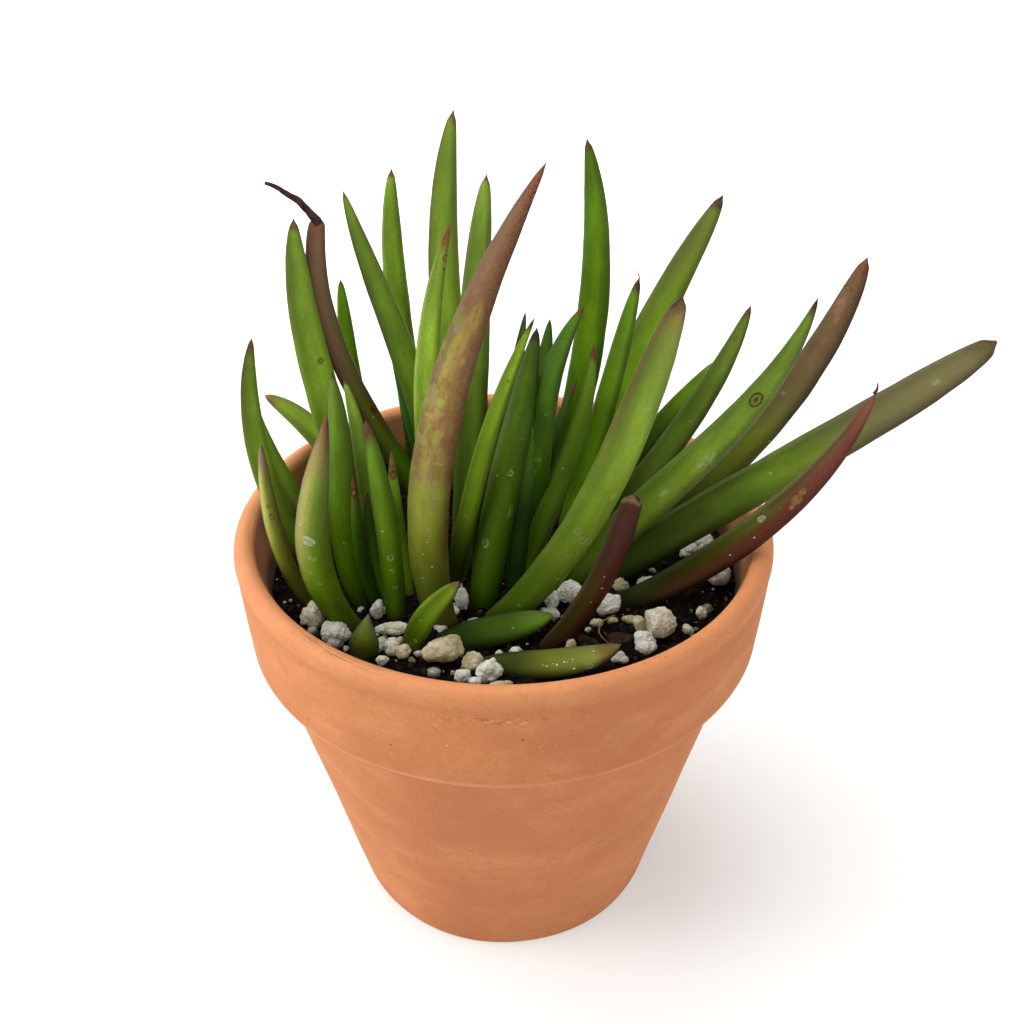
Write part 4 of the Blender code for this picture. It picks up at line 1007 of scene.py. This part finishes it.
def leaf_recipe():
    """A line bent by three leans carries an oval that swells, tapers, and is hollowed on one side."""
    recipe = Recipe("fleshy leaf", {
        **dict.fromkeys(("Root", "Heading", "Face"), "Vector"), "Rings": "Int",
        **dict.fromkeys(("Lean Base", "Lean Middle", "Lean Tip", "Length", "Width", "Thickness", "Blunt",
                         "Cut", "Groove", "Keel", "Seed"), "Float")})
    take, start = recipe.take, recipe.start
    rooted = ROOTED_DEPTH * MM / take("Length")
    index = start.node("GeometryNodeInputIndex")

    def station(number):
        """Share of the length at a ring. Rings lie closer together towards the tip."""
        way = number / (take("Rings") - 1.0)
        return (1.0 - (1.0 - way) ** RING_CROWDING) * (rooted + 1.0) - rooted

    def leaning(lean):
        up = together(0.0, 0.0, lean.math("COSINE"))
        return take("Heading").scaled(lean.math("SINE")).vector("ADD", up)

    def direction(share):
        share = share.at_least(0.0)
        rest = 1.0 - share
        return leaning(take("Lean Base") * rest * (rest - share) + take("Lean Middle") * share * rest * 4.0
                       + take("Lean Tip") * share * (share - rest))

    # the middle line, added up step by step from under the soil
    share = station(index)
    before = station((index - 1.0).at_least(0.0))
    stride = direction((share + before) * 0.5).scaled((share - before) * take("Length"))
    climbed = start.node("GeometryNodeAccumulateField", {0: stride}, data_type="FLOAT_VECTOR")
    root = take("Root").vector("SUBTRACT", leaning(take("Lean Base")).scaled(ROOTED_DEPTH * MM))
    onward = direction(share)
    across = onward.vector("CROSS_PRODUCT", take("Face")).vector("NORMALIZE")
    inward = across.vector("CROSS_PRODUCT", onward)

    # a straight rail and a round ring only give the mesh its grid of points
    rail = start.node("GeometryNodeCurvePrimitiveLine", {1: (0.0, 0.0, 1.0)})
    rail = start.node("GeometryNodeResampleCurve", {0: rail, "Count": take("Rings")}, mode="COUNT")
    rail, share = kept_on(rail, "FLOAT", share)
    rail, middle = kept_on(rail, "VECTOR", root.vector("ADD", climbed))
    rail, across = kept_on(rail, "VECTOR", across)
    rail, inward = kept_on(rail, "VECTOR", inward)
    ring = start.node("GeometryNodeCurvePrimitiveCircle", {"Resolution": LEAF_SIDES, "Radius": 1.0})
    ring, round_place = kept_on(ring, "VECTOR", start.node("GeometryNodeInputPosition"))
    blade = start.node("GeometryNodeCurveToMesh", {0: rail, 1: ring, "Fill Caps": True})
    side, face = round_place.part(0), round_place.part(1)

    # how wide and thick it is there
    along = (share * take("Cut")).at_least(0.0)
    quarter = (along / FULL_FROM).at_most(1.0) * (math.pi / 2)
    past = ((along - TAPER_FROM) / (1.0 - TAPER_FROM)).at_least(0.0)
    taper = (1.0 - past ** (take("Blunt") + 2.0)).at_least(0.0) ** (0.7 - take("Blunt") * 0.2)
    swell = quarter.math("SINE") * (1.0 - BASE_WIDTH) + BASE_WIDTH
    rooting = (share / rooted).rise(-1.0, 0.0) * (1.0 - ROOTED_SIZE) + ROOTED_SIZE
    closing = 1.0 - share.rise(0.975, 1.0) * 0.55
    girth = (swell * taper * rooting * closing).at_least(LEAST_GIRTH)

    # margins that waver, a hollowed face and a keeled back
    unevenness = together(share * take("Length") * 95.0, side.math("SIGN"), take("Seed")).cloud(1.0, 2.0)
    wide = side * take("Width") * 0.5 * girth * ((unevenness - 0.5) * MARGIN_WAVER + 1.0)
    hollow = take("Groove") * face.at_least(0.0) ** 3.0 * share.rise(0.0, 0.15) * share.rise(1.0, 0.86)
    keel = 1.0 + take("Keel") * (0.0 - face).at_least(0.0) ** 5.0
    thick = face * face.math("ABSOLUTE") ** 0.18 * take("Thickness") * 0.5 * girth * (1.0 - hollow) * keel
    swelling = middle.vector("ADD", (0.0, 0.0, 7.0)).cloud(150.0, 2.0) - 0.5
    thick = thick + swelling * SKIN_SWELLING * MM * (girth * 1.5).at_most(1.0)
    place = middle.vector("ADD", across.scaled(wide)).vector("ADD", inward.scaled(thick))
    blade = start.node("GeometryNodeSetPosition", {0: blade, "Position": place})
    for name, value in (("blade", together(side, face, share)),
                        ("spread", together(wide / MM, share * take("Length") / MM, 0.0))):
        blade = start.node("GeometryNodeStoreNamedAttribute", {0: blade, "Name": name, "Value": value},
                           data_type="FLOAT_VECTOR", domain="POINT")
    recipe.give(start.node("GeometryNodeFlipFaces", {0: blade}))
    return recipe


def leaf_finish(leaf, skin, seed):
    """Skin of one leaf: veined and freckled green, then its washes from base to tip, then its marks."""
    finish = Finish(leaf.name + "_skin", Specular_IOR_Level=0.08)
    place = from_axis(finish.start)
    blade, spread = finish.attribute("blade"), finish.attribute("spread")
    right = 1.0 if leaf.facing < 0 else -1.0
    side, along = blade.part(0) * right, blade.part(2)
    x, y = spread.part(0) * right, spread.part(1)
    drift = together(x * 0.35, y * 0.12, float(seed))
    wavering = along + (drift.cloud(1.0, 3.0, 0.6) - 0.5) * 0.09
    # green that pools and thins, with faint veins along it
    light, deep = dimmed(skin.body, 1.30), dimmed(skin.body, 0.72)
    veins = together(x * 2.6, y * 0.05, seed + 3.0).cloud(1.0, 3.0, 0.6).rise(0.45, 0.70)
    pools = together(x * 0.22, y * 0.07, seed + 9.0).cloud(1.0, 3.0, 0.55).rise(0.3, 0.7)
    colour = painted(pools.mix(deep, light), (veins, 0.35, light))
    edge = side.math("ABSOLUTE")
    margin = edge.rise(0.80, 0.97)
    for number, wash in enumerate(skin.washes):
        mask = wavering.rise(wash.start, wash.full) * wash.strength
        if wash.edge:
            mask = mask * ((side * wash.side).rise(0.66, 0.97) if wash.side else margin)
        elif wash.side:
            mask = mask * (side * wash.side + (drift.cloud(2.3) - 0.5) * 0.5).rise(-0.45, 0.55)
        if wash.patchy:
            patches = together(x * 0.55, y * 0.30, seed + 17.0 * number).cloud(1.0, 4.0, 0.6)
            mask = mask * (patches.rise(0.42, 0.60) * wash.patchy + (1.0 - wash.patchy))
        colour = mask.mix(colour, wash.colour)
    # freckles and fine grain; painted shade deepens it towards its foot, and it dulls where it stands in the
    # soil
    height = place.part(2) / MM
    grime = height.rise(SOIL_LEVEL + 5.0, SOIL_LEVEL - 1.0)
    colour = painted(
        colour,
        (place.dots(2300.0, 0.24, 0.6) * skin.speckle, 0.40, PALE_GREEN),
        (place.cloud(900.0, 3.0, 0.7).rise(0.60, 0.75), 0.12, deep),
        (place.cloud(2400.0, 3.0, 0.75).rise(0.45, 0.60), 0.40, deep),
        # painted shade, deepening towards the foot of the leaf
        (height.rise(SOIL_LEVEL + 34.0, SOIL_LEVEL + 2.0), 0.5, dimmed(skin.body, 0.42)),
        (grime, 0.75, dimmed(skin.body, 0.25)),
        (place.dots(1000.0, 0.11, 0.10), 0.6, HUSK))
    # painted shade darkens it where it curves away to its margins and painted light brightens its middle, a
    # pale waxy bloom with painted sheen lies higher up, and it has a thin brown rim
    # the tone scales the colour for its pigment and for painted light and shade, from foot to tip
    foot, half, top = skin.tone
    tone = along.rise(0.10, 0.50) * (half - foot) + foot + along.rise(0.50, 0.90) * (top - half)
    colour = painted(colour.scaled(tone * (1.20 - edge.rise(0.15, 1.0) * 0.58)),
                     (along.rise(0.30, 0.95) * tone.at_most(1.0), 0.018, BLOOM_AND_SHEEN),
                     (edge.rise(0.93, 0.99), 0.30, RIM))
    # scars and specks
    scarred = margin * 0.0
    for mark in skin.marks:
        core, core_strength, rim, rim_strength = MARK_KINDS[mark.kind]
        away = together((x - mark.across) / mark.size,
                        (y - mark.along * leaf.length) / (mark.size * mark.tall), 0.0)
        ragged = away.vector("ADD", together(x, y, seed + 31.0).cloud(1.6, 3.0, 0.6).scaled(0.5))
        distance = ragged.vector("SUBTRACT", (0.25, 0.25, 0.25)).vector("MULTIPLY", (1.0, 1.0, 0.0)).length()
        seen = blade.part(1).rise(-0.35, -0.15) if right > 0 else blade.part(1).rise(0.35, 0.15)
        inner = distance.rise(0.80, 0.55) * seen
        if mark.kind in ("gold", "tan", "pale"):
            inner = inner * together(x * 1.5, y * 0.45, seed + 60.0).cloud(1.0, 4.0, 0.65).rise(0.36, 0.60)
        outer = distance.rise(1.15, 0.95) * distance.rise(0.55, 0.85) * seen
        if mark.kind in ("ring", "oval", "pale"):
            outer = outer * together(x * 0.9, y * 0.9, seed + 45.0).cloud(1.0, 2.0).rise(0.38, 0.58)
        colour = painted(colour, (inner, core_strength, core), (outer, rim_strength, rim))
        if mark.kind in ("cork", "scab"):
            scarred = scarred.at_least(distance.rise(1.1, 0.8) * seen)
    cells = place.cloud(2600.0, 3.0, 0.6)
    relief = cells * 0.30 + veins * 0.08 + drift.cloud(3.0, 3.0) * 0.5 - scarred * cells.rise(0.35, 0.6) * 1.2
    roughness = place.cloud(260.0, 3.0) * 0.16 + 0.33 + scarred * 0.35 + grime * 0.25
    return finish.paint(colour, roughness, relief, 0.10 * MM)


def heading_vector(heading, rise):
    """Unit vector towards a heading, raised by an angle from the level."""
    heading, rise = math.radians(heading), math.radians(rise)
    return Vector((math.cos(heading) * math.cos(rise), math.sin(heading) * math.cos(rise), math.sin(rise)))


blades = {}
grow_leaf = leaf_recipe()
for seed, leaf in enumerate(LEAVES):
    skin = SKINS[leaf.name]
    blades[leaf.name] = grow_leaf.grow(leaf.name + "_blade", {
        "Root": Vector((leaf.x + POT_X, leaf.y, soil_swell(leaf.x, leaf.y))) * MM,
        "Heading": heading_vector(leaf.heading, 0), "Face": heading_vector(leaf.facing, leaf.face_up),
        "Lean Base": math.radians(leaf.lean_base), "Lean Middle": math.radians(leaf.lean_middle),
        "Lean Tip": math.radians(leaf.lean_tip), "Length": leaf.length * MM, "Width": leaf.width * MM,
        "Thickness": (THICKNESS_SHARE * leaf.width + THICKNESS_LEAST) * MM, "Blunt": leaf.blunt,
        "Cut": leaf.cut, "Groove": leaf.groove, "Keel": leaf.keel, "Rings": round(leaf.length * RINGS_PER_MM),
        "Seed": float(seed), "Material": leaf_finish(leaf, skin, seed)})
    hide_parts(leaf.name)


# ------------------------------------------------------------------------------------------------
# The dry bits: the curled-up end of the withered leaf, the hair-thin points that two tips still have,
# one loose root on the soil, and three flakes of bark. All of them are brown, thin and brittle.
# ------------------------------------------------------------------------------------------------

WISP_RINGS = 34
LAST_RING_SHARE = 0.999
WISP_POINTS = ("Foot", "Rising", "Nearing", "End")
CURL_DARK, CURL = (0.018, 0.009, 0.008), (0.075, 0.030, 0.030)
ROOT_DARK, ROOT = (0.20, 0.12, 0.05), (0.26, 0.16, 0.07)
BARK_DARK, BARK = (0.012, 0.005, 0.003), (0.075, 0.030, 0.016)


def wisp_recipe():
    """A strand on a bent path, thinning to its end, crinkled and a little squashed."""
    recipe = Recipe("dry wisp", {**dict.fromkeys(WISP_POINTS, "Vector"),
                                 **dict.fromkeys(("Thick", "Thin", "Crinkle"), "Float")})
    take, start = recipe.take, recipe.start
    path = start.node("GeometryNodeCurvePrimitiveBezierSegment", {
        "Start": take("Foot"), "Start Handle": take("Rising"), "End Handle": take("Nearing"),
        "End": take("End")}, mode="POSITION")
    path = start.node("GeometryNodeResampleCurve", {0: path, "Count": WISP_RINGS}, mode="COUNT")
    along = start.node("GeometryNodeSplineParameter")
    place = start.node("GeometryNodeInputPosition")
    bend = place.shove(420.0, 1.0, take("Crinkle") * along.rise(0.0, 0.3))
    path = start.node("GeometryNodeSetPosition", {0: path, "Offset": bend})
    lumpy = 0.85 + place.cloud(900.0, 1.0) * 0.3
    girth = (take("Thick") + (take("Thin") - take("Thick")) * along) * lumpy
    ring = start.node("GeometryNodeCurvePrimitiveCircle", {"Resolution": 8, "Radius": 1.0})
    ring = start.node("GeometryNodeTransform", {0: ring, "Scale": (1.0, 0.7, 1.0)})
    strand = start.node("GeometryNodeCurveToMesh", {0: path, 1: ring, "Scale": girth, "Fill Caps": True})
    recipe.give(start.node("GeometryNodeSetShadeSmooth", {0: strand, "Shade Smooth": True}))
    return recipe


def tip_of(leaf_name):
    """The middle of the last ring of a leaf, in metres."""
    mesh = blades[leaf_name].data
    last = [vert.co for vert, kept in zip(mesh.vertices, mesh.attributes["blade"].data)
            if kept.vector.z > LAST_RING_SHARE]
    return sum(last, Vector()) / len(last)


def on_soil(x, y, lift):
    return Vector((x + POT_X, y, soil_height(x, y) + lift)) * MM


def from_tip(leaf_name, back, *steps):
    """A wisp's four points: its foot, that far back from a leaf's tip, then steps from there."""
    foot = tip_of(leaf_name) - Vector(back) * MM
    return (foot, *(foot + Vector(step) * MM for step in steps))


dry_curl = plain_finish("dry_curl", CURL_DARK, CURL, 700.0, 0.6, 0.15 * MM)
dry_root = plain_finish("dry_root", ROOT_DARK, ROOT, 400.0, 0.7, 0.1 * MM)
grow_wisp = wisp_recipe()
for name, places, thick, thin, crinkle, material, slot in (
        ("withered_curl", from_tip("leaf_back_left_withered", (0.0, 0.0, 1.5),
                                   (-1.8, 0.0, 2.9), (-4.6, -0.3, 6.2), (-9.3, 0.0, 7.6)),
         1.3, 0.5, 0.8, dry_curl, "leaf_wine"),
        ("hair_on_leaf", from_tip("leaf_right_hair_tip", (0.0, 0.0, 0.8),
                                  (0.1, 0.0, 0.8), (0.0, 0.0, 1.5), (-0.5, 0.0, 2.2)),
         0.26, 0.10, 0.2, dry_curl, "leaf_wine"),
        ("hair_on_red_leaf", from_tip("leaf_right_red", (0.4, 0.0, 0.4),
                                      (0.4, 0.0, 0.6), (0.5, 0.0, 1.2), (0.3, 0.0, 2.2)),
         0.42, 0.12, 0.2, dry_curl, "leaf_wine"),
        ("loose_root", (on_soil(21.5, -20.5, 1.6), on_soil(17.6, -21.5, 1.6), on_soil(17.0, -27.0, 1.2),
                        on_soil(20.5, -27.5, 0.5)), 0.17, 0.12, 0.6, dry_root, "soil")):
    wisp = grow_wisp.grow(name, {
        **dict(zip(WISP_POINTS, places)), "Thick": thick * MM, "Thin": thin * MM, "Crinkle": crinkle * MM,
        "Material": material})

builder = bmesh.new()
for flake in (Granule("", 22.0, -26.4, 5.2, 3.8, 1.3, 25, 71, "", 4),
              Granule("", 16.0, -26.7, 5.0, 3.4, 1.2, -35, 72, "", 3),
              Granule("", 33.5, -11.5, 4.6, 3.0, 1.2, 60, 73, "", 4)):
    noise.seed_set(flake.seed)
    add_lump(builder, flake, BIT_FINENESS)
bark = keep_built("bark_flakes", builder, plain_finish("bark", BARK_DARK, BARK, 700.0, 0.55, 0.7 * MM))


# ------------------------------------------------------------------------------------------------
# The stage: a white table in a white room, a wide window up behind on the left, two pale walls that
# throw some of its light back, and a camera that looks down into the pot.
# ------------------------------------------------------------------------------------------------

def seen_directly(start):
    """1 where the camera, a reflection or a transparent thing sees the surface, and 0 for its light."""
    camera_ray, glossy_ray, through_ray = (start.node("ShaderNodeLightPath", output=f"Is {kind} Ray")
                                           for kind in ("Camera", "Glossy", "Transmission"))
    return camera_ray.at_least(glossy_ray).at_least(through_ray)


table_finish = bpy.data.materials.new("white_table")
table_finish.use_nodes = True
tree = table_finish.node_tree
tree.nodes.clear()
start = Wire(tree)
point = from_axis(start)
away = point.length()
# painted shadow dims the table a little behind the pot on the right, and painted light makes it brighter
# close in front of it
painted_shadow = point.vector("SUBTRACT", (0.040, 0.0, 0.0)).length().rise(0.080, 0.0) ** 2.0 * 0.12
front = point.part(1).rise(-0.022, -0.044) * away.rise(0.12, 0.06) * 0.07
matt = start.node("ShaderNodeBsdfDiffuse", {0: (0.80, 0.80, 0.80, 1.0)})
shaded = start.node("ShaderNodeBsdfDiffuse", {0: (0.55, 0.54, 0.52, 1.0)})
light = away.rise(0.20, 0.45) * 0.55 + 0.45 + front - painted_shadow
glow = start.node("ShaderNodeEmission", {0: (1.0, 1.0, 1.0, 1.0), 1: light})
white = start.node("ShaderNodeAddShader", {0: shaded, 1: glow})
surface = start.node("ShaderNodeMixShader", {0: seen_directly(start), 1: matt, 2: white})
leave = tree.nodes.new("ShaderNodeOutputMaterial")
tree.links.new(surface.socket, leave.inputs[0])

TABLE_HALF = 4.0
builder = bmesh.new()
bmesh.ops.create_grid(builder, x_segments=1, y_segments=1, size=TABLE_HALF)
table_mesh = bpy.data.meshes.new("table")
builder.to_mesh(table_mesh)
builder.free()
table_mesh.materials.append(table_finish)
table = bpy.data.objects.new("table", table_mesh)
bpy.context.scene.collection.objects.link(table)

world = bpy.data.worlds.new("white_room")
world.use_nodes = True
bpy.context.scene.world = world
start = Wire(world.node_tree)
background = world.node_tree.nodes["Background"]
background.inputs[0].default_value = (1.0, 1.0, 1.0, 1.0)
strength = seen_directly(start) * 0.49 + 0.51
world.node_tree.links.new(strength.socket, background.inputs[1])


def add_lamp(name, place, size, watts, target):
    lamp = bpy.data.lights.new(name, "AREA")
    lamp.shape = "DISK"
    lamp.size = size
    lamp.energy = watts
    holder = bpy.data.objects.new(name, lamp)
    holder.location = place
    holder.rotation_euler = (Vector(target) - Vector(place)).to_track_quat("-Z", "Y").to_euler()
    bpy.context.scene.collection.objects.link(holder)


plant_middle = (POT_X * MM, 0.0, 0.08)
add_lamp("window", (-0.45, 0.40, 0.95), 1.60, 15.5, plant_middle)
add_lamp("left_wall", (-1.05, -0.22, 0.45), 0.80, 8.4, plant_middle)
add_lamp("right_wall", (0.90, -0.50, 0.45), 0.80, 3.4, plant_middle)

CAMERA_PLACE = ((POT_X + 1.7) * MM, -0.1779, 0.2107)
CAMERA_TILT = 56.5
lens = bpy.data.cameras.new("camera")
lens.lens = 36.9
lens.sensor_width = 36.0
lens.clip_start = 0.01
camera = bpy.data.objects.new("camera", lens)
camera.location = CAMERA_PLACE
camera.rotation_euler = (math.radians(CAMERA_TILT), 0.0, 0.0)
bpy.context.scene.collection.objects.link(camera)
bpy.context.scene.camera = camera
bpy.context.scene.view_settings.view_transform = "Standard"
